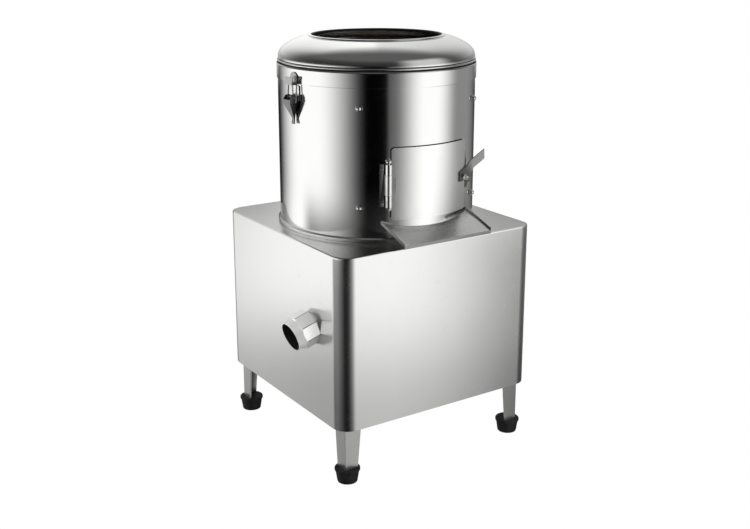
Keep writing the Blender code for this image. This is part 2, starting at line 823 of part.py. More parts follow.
def make_barrel():
    """Rolled barrel with the doorway, the water inlet hole and eight stud holes, and its foot ring."""
    points = [
        (BARREL_RADIUS, BARREL_TOP),
        (BARREL_RADIUS, BARREL_FOOT),
        (BARREL_INNER, BARREL_FOOT),
        (BARREL_INNER, BARREL_TOP),
    ]
    barrel = place("barrel", profile_mesh("barrel", points, True), "polished_steel")
    turn(barrel, ROUND_LARGE)
    combine(barrel, DOORWAY_CUTTER)
    combine(barrel, INLET_CUTTER)
    for cutter in STUD_CUTTERS:
        combine(barrel, cutter)

    outer = BARREL_RADIUS + FOOT_RING_WIDTH
    inner = BARREL_RADIUS + SEAT_GAP
    shoulder = FOOT_RING_WIDTH / 3
    top = BARREL_FOOT + FOOT_RING_HEIGHT
    points = [
        (inner + shoulder, top),
        (outer, top - shoulder * 3),
        (outer, BARREL_FOOT),
        (inner, BARREL_FOOT),
    ]
    foot_ring = place("barrel_foot_ring", profile_mesh("barrel_foot_ring", points, True), "satin_steel")
    turn(foot_ring, ROUND_LARGE)


def make_barrel_cutters():
    """Cutters shared by the barrel and the liner behind it."""
    left = LINER_INNER * math.sin(math.radians(DOOR_LEFT_STATION)) + DOORWAY_MARGIN
    right = LINER_INNER * math.sin(math.radians(DOOR_RIGHT_STATION)) - DOORWAY_MARGIN
    outline = rounded_rectangle(
        (left, DOOR_FOOT + DOORWAY_MARGIN), (right, DOOR_TOP - DOORWAY_MARGIN), DOOR_CORNER_RADIUS
    )
    depth = BARREL_RADIUS / 2
    doorway = upright(prism("cut_doorway", outline, depth))
    doorway_cutter = tool("cut_doorway", doorway, MACHINE, (0, -BARREL_RADIUS, 0))

    inlet = rod(
        "cut_inlet", INLET_RADIUS + SEAT_GAP, -BARREL_SHEET - LINER_THICKNESS * 2, CUT_OVERRUN, ROUND_SMALL
    )
    inlet_cutter = tool("cut_inlet", inlet, INLET_AXIS)
    stud_cutters = []
    for index, degrees in enumerate(STUD_STATIONS):
        frame = station("stud_station_%d" % index, degrees)
        for level, height in (("low", STUD_LOW), ("high", STUD_HIGH)):
            name = "cut_stud_%s_%d" % (level, index)
            hole = rod(name, STUD_HOLE_RADIUS, -BARREL_SHEET * 3, BARREL_SHEET * 2, ROUND_TINY)
            spot = (0, -BARREL_RADIUS, height)
            stud_cutters.append(tool(name, hole, frame, spot, (math.pi / 2, 0, 0)))
    return doorway_cutter, inlet_cutter, stud_cutters


def make_liner():
    """Grit-coated liner with eight welded studs, whose dome nuts clamp it to the barrel from outside."""
    foot = SUMP_FLANGE_TOP + SEAT_GAP
    points = [(LINER_OUTER, LINER_TOP), (LINER_OUTER, foot), (LINER_INNER, foot), (LINER_INNER, LINER_TOP)]
    liner = place("abrasive_liner", profile_mesh("abrasive_liner", points, True), "grit_liner")
    turn(liner, ROUND_LARGE)
    combine(liner, DOORWAY_CUTTER)
    combine(liner, INLET_CUTTER)
    root = -BARREL_SHEET - LINER_THICKNESS / 2
    washer = SEAT_GAP * 2
    for index, degrees in enumerate(STUD_STATIONS):
        frame = bpy.data.objects["stud_station_%d" % index]
        for level, height in (("low", STUD_LOW), ("high", STUD_HIGH)):
            name = "stud_%s_%d" % (level, index)
            dome_foot = washer + DOME_NUT_WASHER
            dome_top = dome_foot + DOME_NUT_HEIGHT
            stud_points = [
                (0, dome_top),
                (DOME_NUT_RADIUS * DOME_NUT_CROWN_SHARE, dome_top - DOME_NUT_WASHER * 2),
                (DOME_NUT_RADIUS, dome_foot),
                (DOME_NUT_WASHER_RADIUS, dome_foot),
                (DOME_NUT_WASHER_RADIUS, washer),
                (STUD_RADIUS, washer),
                (STUD_RADIUS, root),
                (0, root),
            ]
            stud = turned_mesh(name, stud_points, ROUND_TINY, False)
            guide = tool(name, stud, frame, (0, -BARREL_RADIUS, height), (math.pi / 2, 0, 0))
            combine(liner, guide, "UNION")


def make_lid():
    """Ring lid: a gasket on the barrel rim, a band that laps the barrel, and a dome with the mouth."""
    gasket_inner = LID_FLANGE_INNER_RADIUS
    gasket_top = GASKET_FOOT + GASKET_HEIGHT
    ring("lid_gasket", BARREL_RADIUS, gasket_inner, GASKET_FOOT, gasket_top, "black_rubber")

    inner = LID_BAND_RADIUS - LID_BAND_SHEET
    drop = LID_SHOULDER_RADIUS
    shoulder = arc((LID_BAND_RADIUS - drop, LID_FLANGE_TOP - drop), drop, 90, 0, 2)
    points = shoulder + [
        (LID_BAND_RADIUS, LID_BAND_FOOT),
        (inner, LID_BAND_FOOT),
        (inner, LID_FLANGE_UNDERSIDE),
        (LID_FLANGE_INNER_RADIUS, LID_FLANGE_UNDERSIDE),
        (LID_FLANGE_INNER_RADIUS, LID_FLANGE_TOP),
    ]
    turn(place("lid_band", profile_mesh("lid_band", points, True), "polished_steel"), ROUND_LARGE)

    outer = dome_outline(6)
    inner = inset_line(dome_outline(2, False), DOME_SHEET)
    points = outer + [(DOME_SKIRT_RADIUS - DOME_SHEET, DOME_FOOT)] + inner[::-1]
    points += [(MOUTH_RADIUS + DOME_SHEET, DOME_TOP - MOUTH_LIP_DROP)]
    turn(place("lid_dome", profile_mesh("lid_dome", points, True), "satin_steel"), ROUND_LARGE)


def dome_outline(steps, trimmed=True):
    """Outer line of the dome, crown to skirt, with the mouth lip and the skirt bead if trimmed."""
    skirt_foot = DOME_FOOT + DOME_BEAD_HEIGHT
    shoulder = []
    for step in range(steps + 1):
        share = 1 - (step / steps) ** DOME_SPACING_POWER
        width = (DOME_SKIRT_RADIUS - DOME_CROWN_RADIUS) * (1 - share**DOME_BULGE_POWER)
        shoulder.append((DOME_CROWN_RADIUS + width, skirt_foot + (DOME_TOP - skirt_foot) * share))
    if not trimmed:
        return shoulder
    lip = DOME_CROWN_RADIUS - MOUTH_RADIUS
    mouth = [(MOUTH_RADIUS, DOME_TOP - MOUTH_LIP_DROP)]
    mouth += arc((MOUTH_RADIUS + lip / 2, DOME_TOP - lip / 2), lip / 2, 180, 90, 1)
    bead_radius = DOME_BEAD_HEIGHT / 2
    swell = DOME_BEAD_RADIUS - DOME_SKIRT_RADIUS
    bead = []
    for angle in DOME_BEAD_TURNS:
        turn_angle = math.radians(angle)
        rise = bead_radius * (1 + math.sin(turn_angle))
        bead.append((DOME_SKIRT_RADIUS + swell * math.cos(turn_angle), DOME_FOOT + rise))
    return mouth + shoulder + bead + [(DOME_SKIRT_RADIUS, DOME_FOOT)]


def inset_line(points, distance):
    """Line moved to its right-hand side, which is inwards for an outline that runs down an outer side."""
    moved_line = []
    for index, (x, y) in enumerate(points):
        before = points[max(0, index - 1)]
        after = points[min(len(points) - 1, index + 1)]
        run = Vector((after[0] - before[0], after[1] - before[1])).normalized()
        moved_line.append((x + run.y * distance, y - run.x * distance))
    return moved_line


def make_latches():
    for side, degrees in LATCH_STATIONS.items():
        frame = station("latch_station_" + side, degrees)
        make_keeper(side, frame)
        make_latch_base(side, frame)
        make_latch_lever(side, frame)
        make_bail(side, frame)


def make_keeper(side, frame):
    """Round plate on the lid band whose foot folds out and up into the trough that the bail pulls on.

    The trough's floor is a neck that passes between the bail's legs.
    """
    back = LID_BAND_RADIUS + SEAT_GAP
    face = back + KEEPER_SHEET
    lip = face + KEEPER_TROUGH
    floor = KEEPER_FOOT + KEEPER_SHEET
    outline = [
        (back, KEEPER_FOOT),
        (lip + KEEPER_SHEET, KEEPER_FOOT),
        (lip + KEEPER_SHEET, floor + KEEPER_LIP_HEIGHT),
        (lip, floor + KEEPER_LIP_HEIGHT),
        (lip, floor),
        (face, floor),
        (face, KEEPER_TOP),
        (back, KEEPER_TOP),
    ]
    name = "lid_keeper_" + side
    keeper = place(name, sideways(prism(name, outline, KEEPER_WIDTH)), "polished_steel", frame)
    half = KEEPER_WIDTH / 2
    neck = LEVER_FLANGE_GAP / 2 + RUNNING_GAP
    splay = math.degrees(math.acos(neck / half))
    front = arc((0, KEEPER_TOP - half), half, -splay, 180 + splay, 12)
    front += [(-neck, KEEPER_FOOT - SEAT_GAP), (neck, KEEPER_FOOT - SEAT_GAP)]
    guide = upright(prism("guide_" + name, front, KEEPER_TROUGH * 4))
    combine(keeper, tool("guide_" + name, guide, frame, (0, -back - KEEPER_TROUGH, 0)), "INTERSECT")


def make_latch_base(side, frame):
    """Plate on the barrel with two ears and the pivot pin between and beyond them."""
    back = BARREL_RADIUS + SEAT_GAP
    face = back + LATCH_BASE_SHEET
    half = LATCH_BASE_WIDTH / 2
    name = "latch_base_" + side
    outline = rounded_rectangle(
        (-half, LATCH_BASE_FOOT),
        (half, LATCH_BASE_TOP),
        half / 4,
        2,
    )
    plate = upright(prism(name, outline, LATCH_BASE_SHEET))
    base = place(name, moved(plate, Matrix.Translation((0, -(back + face) / 2, 0))), "satin_steel", frame)
    pivot = BARREL_RADIUS + LATCH_PIVOT_REACH
    ear_outline = arc((pivot, LATCH_PIVOT_HEIGHT), LATCH_EAR_RADIUS, -90, 90, 4) + [
        (face - LATCH_BASE_SHEET / 2, LATCH_PIVOT_HEIGHT + LATCH_EAR_RADIUS),
        (face - LATCH_BASE_SHEET / 2, LATCH_PIVOT_HEIGHT - LATCH_EAR_RADIUS),
    ]
    for sign, edge in ((-1, "near"), (1, "far")):
        ear = sideways(prism("ear_%s_%s" % (edge, side), ear_outline, LATCH_EAR_SHEET))
        middle = sign * (LATCH_EAR_GAP + LATCH_EAR_SHEET) / 2
        combine(base, tool("ear_%s_%s" % (edge, side), ear, frame, (middle, 0, 0)), "UNION")
    reach = LEVER_FLANGE_GAP / 2 + LEVER_SHEET
    pin = rod("latch_pin_" + side, LATCH_PIN_RADIUS, -reach, reach, ROUND_TINY)
    spot = (0, -pivot, LATCH_PIVOT_HEIGHT)
    combine(base, tool("latch_pin_" + side, pin, frame, spot, (0, math.pi / 2, 0)), "UNION")


def bail_pivot():
    """Where the bail hangs on the lever, as (outward, up) from the lever's pivot, just past dead centre."""
    turn_angle = math.radians(LATCH_OVER_CENTRE)
    return -LATCH_CRANK * math.sin(turn_angle), -LATCH_CRANK * math.cos(turn_angle)


def make_latch_lever(side, frame):
    """Tapered channel, open towards the barrel, with its origin on the pivot pin."""
    flange = LEVER_FLANGE_GAP / 2 + LEVER_SHEET
    waist_depth = LEVER_WAIST_DEPTH - LEVER_WAIST_REACH
    tip_depth = LEVER_WAIST_DEPTH / 2 - LEVER_TIP_REACH
    rows = (
        (LEVER_HEAD, LEVER_HEAD, LEVER_HEAD_DEPTH, flange),
        (-LEVER_FACE_START, LEVER_BACK_REACH, LEVER_HEAD_DEPTH, flange),
        (-LEVER_SHOULDER_DROP, LEVER_BACK_REACH, LEVER_HEAD_DEPTH, flange),
        (-LEVER_WAIST_DROP, LEVER_WAIST_REACH, waist_depth, LEVER_WAIST_HALF_WIDTH),
        (-LEVER_TIP_DROP, LEVER_TIP_REACH, tip_depth, LEVER_TIP_HALF_WIDTH),
    )
    bm = bmesh.new()
    loops = []
    for height, out, depth, half in rows:
        corners = ((-half, depth), (-half, -out), (half, -out), (half, depth))
        loops.append([bm.verts.new((across, back, height)) for across, back in corners])
    for upper, lower in zip(loops, loops[1:]):
        for side_index in range(3):
            quad = (upper[side_index], upper[side_index + 1], lower[side_index + 1], lower[side_index])
            bm.faces.new(quad)
    bmesh.ops.recalc_face_normals(bm, faces=bm.faces)
    name = "latch_lever_" + side
    mesh = bpy.data.meshes.new(name)
    bm.to_mesh(mesh)
    bm.free()
    outward = sum((face.normal.y for face in mesh.polygons), 0.0)
    if outward > 0:
        mesh.flip_normals()
    spot = (0, -BARREL_RADIUS - LATCH_PIVOT_REACH, LATCH_PIVOT_HEIGHT)
    lever = place(name, mesh, "polished_steel", frame, spot)
    solidify(lever, LEVER_SHEET, -1)
    reach = flange + CUT_OVERRUN
    opening = LEVER_FLANGE_GAP / 2 - LEVER_SHEET / 3
    notch = block(
        "cut_notch_" + side,
        (-opening, -LEVER_BACK_REACH - CUT_OVERRUN, -LEVER_FACE_START * 3 / 2),
        (opening, LEVER_HEAD_DEPTH + CUT_OVERRUN, LEVER_HEAD + CUT_OVERRUN),
    )
    combine(lever, tool("cut_notch_" + side, notch, lever))
    crank_out, crank_up = bail_pivot()
    pivot_bore = rod("cut_pivot_" + side, LATCH_PIN_RADIUS + SEAT_GAP, -reach, reach, ROUND_TINY)
    combine(lever, tool("cut_pivot_" + side, pivot_bore, lever, (0, 0, 0), (0, math.pi / 2, 0)))
    bail_bore = rod("cut_bail_" + side, BAIL_WIRE_RADIUS + SEAT_GAP, -reach, reach, ROUND_TINY)
    spot = (0, -crank_out, crank_up)
    combine(lever, tool("cut_bail_" + side, bail_bore, lever, spot, (0, math.pi / 2, 0)))


def make_bail(side, frame):
    """Wire loop from the lever to the keeper trough, with its origin on its own pivot."""
    crank_out, crank_up = bail_pivot()
    pivot = (BARREL_RADIUS + LATCH_PIVOT_REACH + crank_out, LATCH_PIVOT_HEIGHT + crank_up)
    seat = (
        LID_BAND_RADIUS + SEAT_GAP + KEEPER_SHEET + SEAT_GAP + BAIL_WIRE_RADIUS,
        KEEPER_FOOT + KEEPER_SHEET + SEAT_GAP + BAIL_WIRE_RADIUS,
    )
    out, up = seat[0] - pivot[0], seat[1] - pivot[1]
    length = math.hypot(out, up)
    inner = LEVER_FLANGE_GAP / 2
    leg = inner + LEVER_SHEET + RUNNING_GAP + BAIL_WIRE_RADIUS
    bend = BAIL_CORNER_RADIUS
    half = [(inner, 0)] + arc((leg - bend / 2, bend / 2), bend / 2, -90, 0, 2)
    half += arc((leg - bend, length - bend), bend, 0, 90, 3)
    outline = half + [(-across, along) for across, along in reversed(half)]
    name = "latch_bail_" + side
    curve = bpy.data.curves.new(name, "CURVE")
    curve.dimensions = "3D"
    curve.bevel_depth = BAIL_WIRE_RADIUS
    curve.bevel_resolution = 2
    curve.use_fill_caps = True
    spline = curve.splines.new("POLY")
    spline.points.add(len(outline) - 1)
    for point, (across, along) in zip(spline.points, outline):
        point.co = (across, -out * along / length, up * along / length, 1)
    blank = bpy.data.objects.new(name, curve)
    CUTTERS.objects.link(blank)
    mesh = smooth(taken(blank))
    place(name, mesh, "polished_steel", frame, (0, -pivot[0], pivot[1]))


def make_door():
    """Curved overlay door, cut from a turned shell, with the bolt that carries its lever."""
    points = [
        (DOOR_OUTER, DOOR_TOP),
        (DOOR_OUTER, DOOR_FOOT),
        (DOOR_INNER, DOOR_FOOT),
        (DOOR_INNER, DOOR_TOP),
    ]
    shell = turned_mesh("door", points, ROUND_LARGE)
    hinge = hinge_spot()
    left = DOOR_OUTER * math.sin(math.radians(DOOR_LEFT_STATION))
    right = DOOR_OUTER * math.sin(math.radians(DOOR_RIGHT_STATION))
    moved(shell, Matrix.Translation(-hinge))
    door = place("discharge_door", shell, "polished_steel", MACHINE, hinge)
    outline = rounded_rectangle((left, DOOR_FOOT), (right, DOOR_TOP), DOOR_CORNER_RADIUS)
    guide = upright(prism("guide_door", outline, BARREL_RADIUS / 2))
    combine(door, tool("guide_door", guide, MACHINE, (0, -BARREL_RADIUS, 0)), "INTERSECT")
    hole = rod(
        "cut_lever_stud", LEVER_BOLT_RADIUS + SEAT_GAP, -DOOR_SHEET * 2, DOOR_SHEET * 2, ROUND_TINY
    )
    spot = (0, -DOOR_OUTER, LEVER_PIVOT_HEIGHT)
    combine(door, tool("cut_lever_stud", hole, LEVER_FRAME, spot, (math.pi / 2, 0, 0)))

    nut_foot = DOOR_OUTER + DOOR_LEVER_STANDOFF + DOOR_LEVER_SHEET + SEAT_GAP
    nut_top = nut_foot + LEVER_NUT_HEIGHT
    tip = nut_top + LEVER_BOLT_PROUD
    radius = LEVER_BOLT_RADIUS
    points = [
        (0, tip),
        (radius / 2, tip),
        (radius, tip - radius / 2),
        (radius, nut_top),
        (LEVER_NUT_RADIUS - radius / 3, nut_top),
        (LEVER_NUT_RADIUS, nut_top - radius / 3),
        (LEVER_NUT_RADIUS, nut_foot),
        (radius, nut_foot),
        (radius, DOOR_INNER + SEAT_GAP),
        (0, DOOR_INNER + SEAT_GAP),
    ]
    mesh = profile_mesh("lever_bolt", points, False)
    spot = (0, 0, LEVER_PIVOT_HEIGHT)
    bolt = place("lever_bolt", mesh, "polished_steel", LEVER_FRAME, spot, (math.pi / 2, 0, 0))
    turn(bolt, ROUND_TINY)


def hinge_spot():
    return polar(BARREL_RADIUS + HINGE_REACH, HINGE_STATION)


LEVER_FRAME = station("lever_station", LEVER_STATION)
HINGE_FRAME = empty("hinge_axis", hinge_spot(), (0, 0, math.radians(HINGE_STATION)), MACHINE)


def barrel_drop(across):
    """How far the barrel falls away from its tangent at this distance from the point of contact."""
    return across**2 / (2 * BARREL_RADIUS)


def make_hinge():
    """Bracket with two knuckles on the barrel, the door's own knuckle and leaf, and the pin with finials.

    Outlines are in the hinge frame's plan view: +X along the barrel, -Y outwards, the pin at the origin.
    """
    back = HINGE_REACH - SEAT_GAP
    sheet = HINGE_LEAF_SHEET
    far, near = -HINGE_LEAF_REACH, -HINGE_LEAF_RELIEF
    leaf = [
        (far, back + barrel_drop(near)),
        (near, back + barrel_drop(0)),
        (near, back - sheet),
        (far, back + barrel_drop(near) - sheet),
    ]
    height = HINGE_TOP - HINGE_FOOT
    bracket = place("hinge_bracket", prism("hinge_bracket", leaf, height), "polished_steel", HINGE_FRAME)
    moved(bracket.data, Matrix.Translation((0, 0, (HINGE_TOP + HINGE_FOOT) / 2)))
    root = near - sheet
    web = [(root, back), (0, back - sheet / 2), (0, back - sheet * 2), (root, back - sheet)]
    levels = {
        "lower": (HINGE_FOOT, HINGE_DOOR_FOOT - SEAT_GAP),
        "upper": (HINGE_DOOR_TOP + SEAT_GAP, HINGE_TOP),
    }
    for name, (foot, top) in levels.items():
        strip = prism("hinge_web_" + name, web, top - foot)
        moved(strip, Matrix.Translation((0, 0, (top + foot) / 2)))
        combine(bracket, tool("hinge_web_" + name, strip, HINGE_FRAME), "UNION")
        knuckle = rod("hinge_knuckle_" + name, HINGE_KNUCKLE_RADIUS, foot, top)
        combine(bracket, tool("hinge_knuckle_" + name, knuckle, HINGE_FRAME), "UNION")
    bore = rod(
        "cut_hinge_bore",
        HINGE_PIN_RADIUS + SEAT_GAP,
        HINGE_FOOT - CUT_OVERRUN,
        HINGE_TOP + CUT_OVERRUN,
        ROUND_TINY,
    )
    bore_cutter = tool("cut_hinge_bore", bore, HINGE_FRAME)
    combine(bracket, bore_cutter)

    knuckle = place(
        "door_knuckle",
        rod("door_knuckle", HINGE_KNUCKLE_RADIUS, HINGE_DOOR_FOOT, HINGE_DOOR_TOP),
        "polished_steel",
        HINGE_FRAME,
    )
    door_face = HINGE_REACH - (DOOR_OUTER - BARREL_RADIUS) - SEAT_GAP
    reach = HINGE_DOOR_LEAF_REACH
    rise = barrel_drop(reach * 3 / 4)
    leaf = [
        (HINGE_PIN_RADIUS, door_face - sheet),
        (HINGE_PIN_RADIUS, door_face - sheet / 4),
        (reach, door_face + rise),
        (reach, door_face + rise - sheet),
    ]
    strip = prism("door_leaf", leaf, HINGE_DOOR_LEAF_TOP - HINGE_DOOR_LEAF_FOOT)
    moved(strip, Matrix.Translation((0, 0, (HINGE_DOOR_LEAF_TOP + HINGE_DOOR_LEAF_FOOT) / 2)))
    combine(knuckle, tool("door_leaf", strip, HINGE_FRAME), "UNION")
    combine(knuckle, bore_cutter)

    top, foot = HINGE_TOP + SEAT_GAP, HINGE_FOOT - SEAT_GAP
    ball = HINGE_BALL_RADIUS
    crown = [
        (ball * math.sin(math.radians(angle)), top + ball * (1 + math.cos(math.radians(angle))))
        for angle in (0, 30, 60, 90, 120, 150)
    ]
    points = crown + [
        (HINGE_PIN_RADIUS, top),
        (HINGE_PIN_RADIUS, foot),
    ]
    points += [
        (HINGE_KNUCKLE_RADIUS * across, foot - HINGE_TIP_LENGTH * down) for across, down in HINGE_TIP_SHARES
    ]
    pin = place("hinge_pin", profile_mesh("hinge_pin", points, False), "polished_steel", HINGE_FRAME)
    turn(pin, ROUND_TINY)


def make_door_lever():
    """Flat arm on the door with a grip bent outwards along an upright line, its origin on the pivot bolt."""
    back, bend = -DOOR_LEVER_BACK, DOOR_LEVER_BEND
    upper, lower = DOOR_LEVER_TOP_CORNER, DOOR_LEVER_FOOT_CORNER
    outline = [
        (bend, DOOR_LEVER_BEND_FOOT),
        (bend, DOOR_LEVER_BEND_TOP),
        DOOR_LEVER_KNEE,
        *arc((back + upper, DOOR_LEVER_BACK_TOP - upper), upper, 90, 180, 2),
        *arc((back + lower, lower - DOOR_LEVER_BACK_FOOT), lower, 180, 270, 2),
        *DOOR_LEVER_UNDERSIDE,
    ]
    out = math.radians(DOOR_LEVER_GRIP_OUT)
    bm = bmesh.new()
    plate = [bm.verts.new((across, 0, height)) for across, height in outline]
    bm.faces.new(plate)
    grip = []
    for along, up in DOOR_LEVER_GRIP:
        grip.append(bm.verts.new((bend + along * math.cos(out), -along * math.sin(out), up)))
    bm.faces.new([plate[0], plate[1]] + grip)
    bmesh.ops.recalc_face_normals(bm, faces=bm.faces)
    mesh = bpy.data.meshes.new("door_lever")
    bm.to_mesh(mesh)
    bm.free()
    if mesh.polygons[0].normal.y > 0:
        mesh.flip_normals()
    spot = (0, -DOOR_OUTER - DOOR_LEVER_STANDOFF, LEVER_PIVOT_HEIGHT)
    lever = place("door_lever", mesh, "satin_steel", LEVER_FRAME, spot)
    solidify(lever, DOOR_LEVER_SHEET, 1)
    reach = DOOR_LEVER_SHEET * 2
    hole = rod("cut_lever_pivot", LEVER_BOLT_RADIUS + SEAT_GAP, -reach, reach, ROUND_TINY)
    combine(lever, tool("cut_lever_pivot", hole, lever, (0, 0, 0), (math.pi / 2, 0, 0)))


def make_lever_hook():
    """Hook on the barrel beside the door: the arm drops into it and is held against the barrel."""
    back = BARREL_RADIUS + SEAT_GAP / 2
    face = back + HOOK_SHEET
    lip = face + HOOK_SLOT
    floor = LEVER_PIVOT_HEIGHT - HOOK_FLOOR_DROP
    outline = [
        (back, floor - HOOK_BASE_LENGTH),
        (face, floor - HOOK_BASE_LENGTH),
        (face, floor - HOOK_SHEET),
        (lip, floor - HOOK_SHEET),
        (lip, floor + HOOK_LIP_RISE),
        (lip - HOOK_SHEET, floor + HOOK_LIP_RISE),
        (lip - HOOK_SHEET, floor),
        (back, floor),
    ]
    frame = station("hook_station", HOOK_STATION)
    place("lever_hook", sideways(prism("lever_hook", outline, HOOK_WIDTH)), "polished_steel", frame)


def make_chute():
    """Folded tray whose root follows the barrel, with upturned sides and a hem along its front."""
    bm = bmesh.new()
    columns = 14
    rows = []
    root_middle = BARREL_RADIUS + SEAT_GAP + CHUTE_SHEET / 2
    slope = (CHUTE_ROOT_HEIGHT - CHUTE_FRONT_HEIGHT) / (CHUTE_FRONT_REACH - root_middle)

    def floor_height(reach):
        return CHUTE_FRONT_HEIGHT + slope * (CHUTE_FRONT_REACH - reach)

    for step in range(columns + 1):
        across = CHUTE_HALF_WIDTH * (2 * step / columns - 1)
        root = math.sqrt(root_middle**2 - across**2)
        rows.append(
            [
                (across, -root, floor_height(root)),
                (across, -CHUTE_FRONT_REACH, CHUTE_FRONT_HEIGHT),
                (across, -CHUTE_FRONT_REACH, CHUTE_FRONT_HEIGHT - CHUTE_HEM),
            ]
        )
    sides = []
    for row in (rows[0], rows[-1]):
        sides.append([(x, y, z + CHUTE_LIP) for x, y, z in row[:2]] + [row[1]])
    grid = [sides[0]] + rows + [sides[1]]
    verts = [[bm.verts.new(point) for point in row] for row in grid]
    for first, second in zip(verts, verts[1:]):
        for index in range(2):
            quad = (first[index], first[index + 1], second[index + 1], second[index])
            bm.faces.new(quad)
    bmesh.ops.remove_doubles(bm, verts=bm.verts, dist=WELD)
    bmesh.ops.dissolve_degenerate(bm, dist=WELD, edges=bm.edges)
    bmesh.ops.recalc_face_normals(bm, faces=bm.faces)
    mesh = bpy.data.meshes.new("discharge_chute")
    bm.to_mesh(mesh)
    bm.free()
    chute = place("discharge_chute", mesh, "satin_steel")
    solidify(chute, CHUTE_SHEET, 0)


def make_sump():
    """Pan under the disc: a flange on the cabinet top, a straight wall and a floor with two outlets."""
    rim = BARREL_INNER - SEAT_GAP
    under = CABINET_TOP + SEAT_GAP
    neck = HOUSING_NECK_RADIUS + SEAT_GAP
    floor = SUMP_UNDERSIDE + SUMP_SHEET
    points = [
        (rim, SUMP_FLANGE_TOP),
        (rim, under),
        (SUMP_RADIUS, under),
        (SUMP_RADIUS, SUMP_UNDERSIDE),
        (neck, SUMP_UNDERSIDE),
        (neck, floor),
        (SUMP_RADIUS - SUMP_SHEET, floor),
        (SUMP_RADIUS - SUMP_SHEET, SUMP_FLANGE_TOP),
    ]
    sump = place("sump_pan", profile_mesh("sump_pan", points, True), "satin_steel")
    turn(sump, ROUND_LARGE)
    outlet = rod(
        "cut_drain_outlet",
        DRAIN_PIPE_RADIUS + SEAT_GAP,
        SUMP_UNDERSIDE - CUT_OVERRUN,
        floor + CUT_OVERRUN,
        ROUND_MEDIUM,
    )
    inlet_x, inlet_y = -CABINET_HALF + DRAIN_INLET_BACK, -DRAIN_FORWARD
    combine(sump, tool("cut_drain_outlet", outlet, MACHINE, (inlet_x, inlet_y, 0)))


def tube_mesh(name, points, radius):
    """Round bar along a path, as a welded mesh."""
    curve = bpy.data.curves.new(name, "CURVE")
    curve.dimensions = "3D"
    curve.bevel_depth = radius
    curve.bevel_resolution = 3
    curve.use_fill_caps = True
    spline = curve.splines.new("POLY")
    spline.points.add(len(points) - 1)
    for point, spot in zip(spline.points, points):
        point.co = (*spot, 1)
    blank = bpy.data.objects.new(name, curve)
    CUTTERS.objects.link(blank)
    return smooth(taken(blank))


def make_drain():
    """Bent drain pipe from the sump floor out through the left wall, and the faceted nozzle on its end."""
    inlet_x = -CABINET_HALF + DRAIN_INLET_BACK
    dip = math.radians(DRAIN_DIP)
    turn_height = DRAIN_HEIGHT + DRAIN_INLET_BACK * math.tan(dip)
    sweep = math.radians(90 - DRAIN_DIP)
    setback = DRAIN_BEND_RADIUS * math.tan(sweep / 2)
    down_end = turn_height + setback
    middle = (inlet_x - DRAIN_BEND_RADIUS, down_end)
    bend = []
    steps = 5
    for step in range(steps + 1):
        angle = sweep * step / steps
        along = middle[0] + DRAIN_BEND_RADIUS * math.cos(angle)
        bend.append((along, -DRAIN_FORWARD, middle[1] - DRAIN_BEND_RADIUS * math.sin(angle)))
    out = Vector((-math.cos(dip), 0, -math.sin(dip)))
    wall = Vector((-CABINET_HALF, -DRAIN_FORWARD, DRAIN_HEIGHT))
    mouth = wall + out * (NOZZLE_START + DRAIN_SOCKET_DEPTH)
    top = SUMP_UNDERSIDE + SUMP_SHEET + SEAT_GAP
    path = [(inlet_x, -DRAIN_FORWARD, top)] + bend + [tuple(mouth)]
    pipe = place("drain_pipe", tube_mesh("drain_pipe", path, DRAIN_PIPE_RADIUS), "satin_steel")
    over = out * CUT_OVERRUN
    long_path = [(inlet_x, -DRAIN_FORWARD, top + CUT_OVERRUN)] + bend + [tuple(mouth + over)]
    bore = tube_mesh("cut_drain_bore", long_path, DRAIN_PIPE_RADIUS - DRAIN_PIPE_WALL)
    combine(pipe, tool("cut_drain_bore", bore))

    socket = DRAIN_PIPE_RADIUS + SEAT_GAP
    step_in = DRAIN_PIPE_RADIUS - DRAIN_PIPE_WALL
    shelf = NOZZLE_START + DRAIN_SOCKET_DEPTH + SEAT_GAP
    points = [
        (NOZZLE_MOUTH_RADIUS, NOZZLE_MOUTH),
        (NOZZLE_SHOULDER_RADIUS, NOZZLE_SHOULDER),
        (NOZZLE_BODY_RADIUS, NOZZLE_SHOULDER - NOZZLE_SHOULDER_BEVEL),
        (NOZZLE_BODY_RADIUS, NOZZLE_START),
        (socket, NOZZLE_START),
        (socket, shelf),
        (step_in, shelf),
        (NOZZLE_MOUTH_BORE, NOZZLE_MOUTH),
    ]
    nozzle = place("drain_nozzle", profile_mesh("drain_nozzle", points, True), "polished_steel", DRAIN_AXIS)
    turn(nozzle, ROUND_MEDIUM)
    flats = prism(
        "guide_nozzle_flats", regular_polygon(NOZZLE_FLAT_REACH, NOZZLE_FLATS), NOZZLE_MOUTH * 3
    )
    flat_turn = (0, 0, math.radians(NOZZLE_FLAT_TURN))
    combine(nozzle, tool("guide_nozzle_flats", flats, DRAIN_AXIS, (0, 0, 0), flat_turn), "INTERSECT")
    room = NOZZLE_BODY_RADIUS * 2
    wall_side = block("cut_nozzle_wall", (-SEAT_GAP, -room, -room), (room, room, room))
    combine(nozzle, tool("cut_nozzle_wall", wall_side, MACHINE, tuple(wall)))


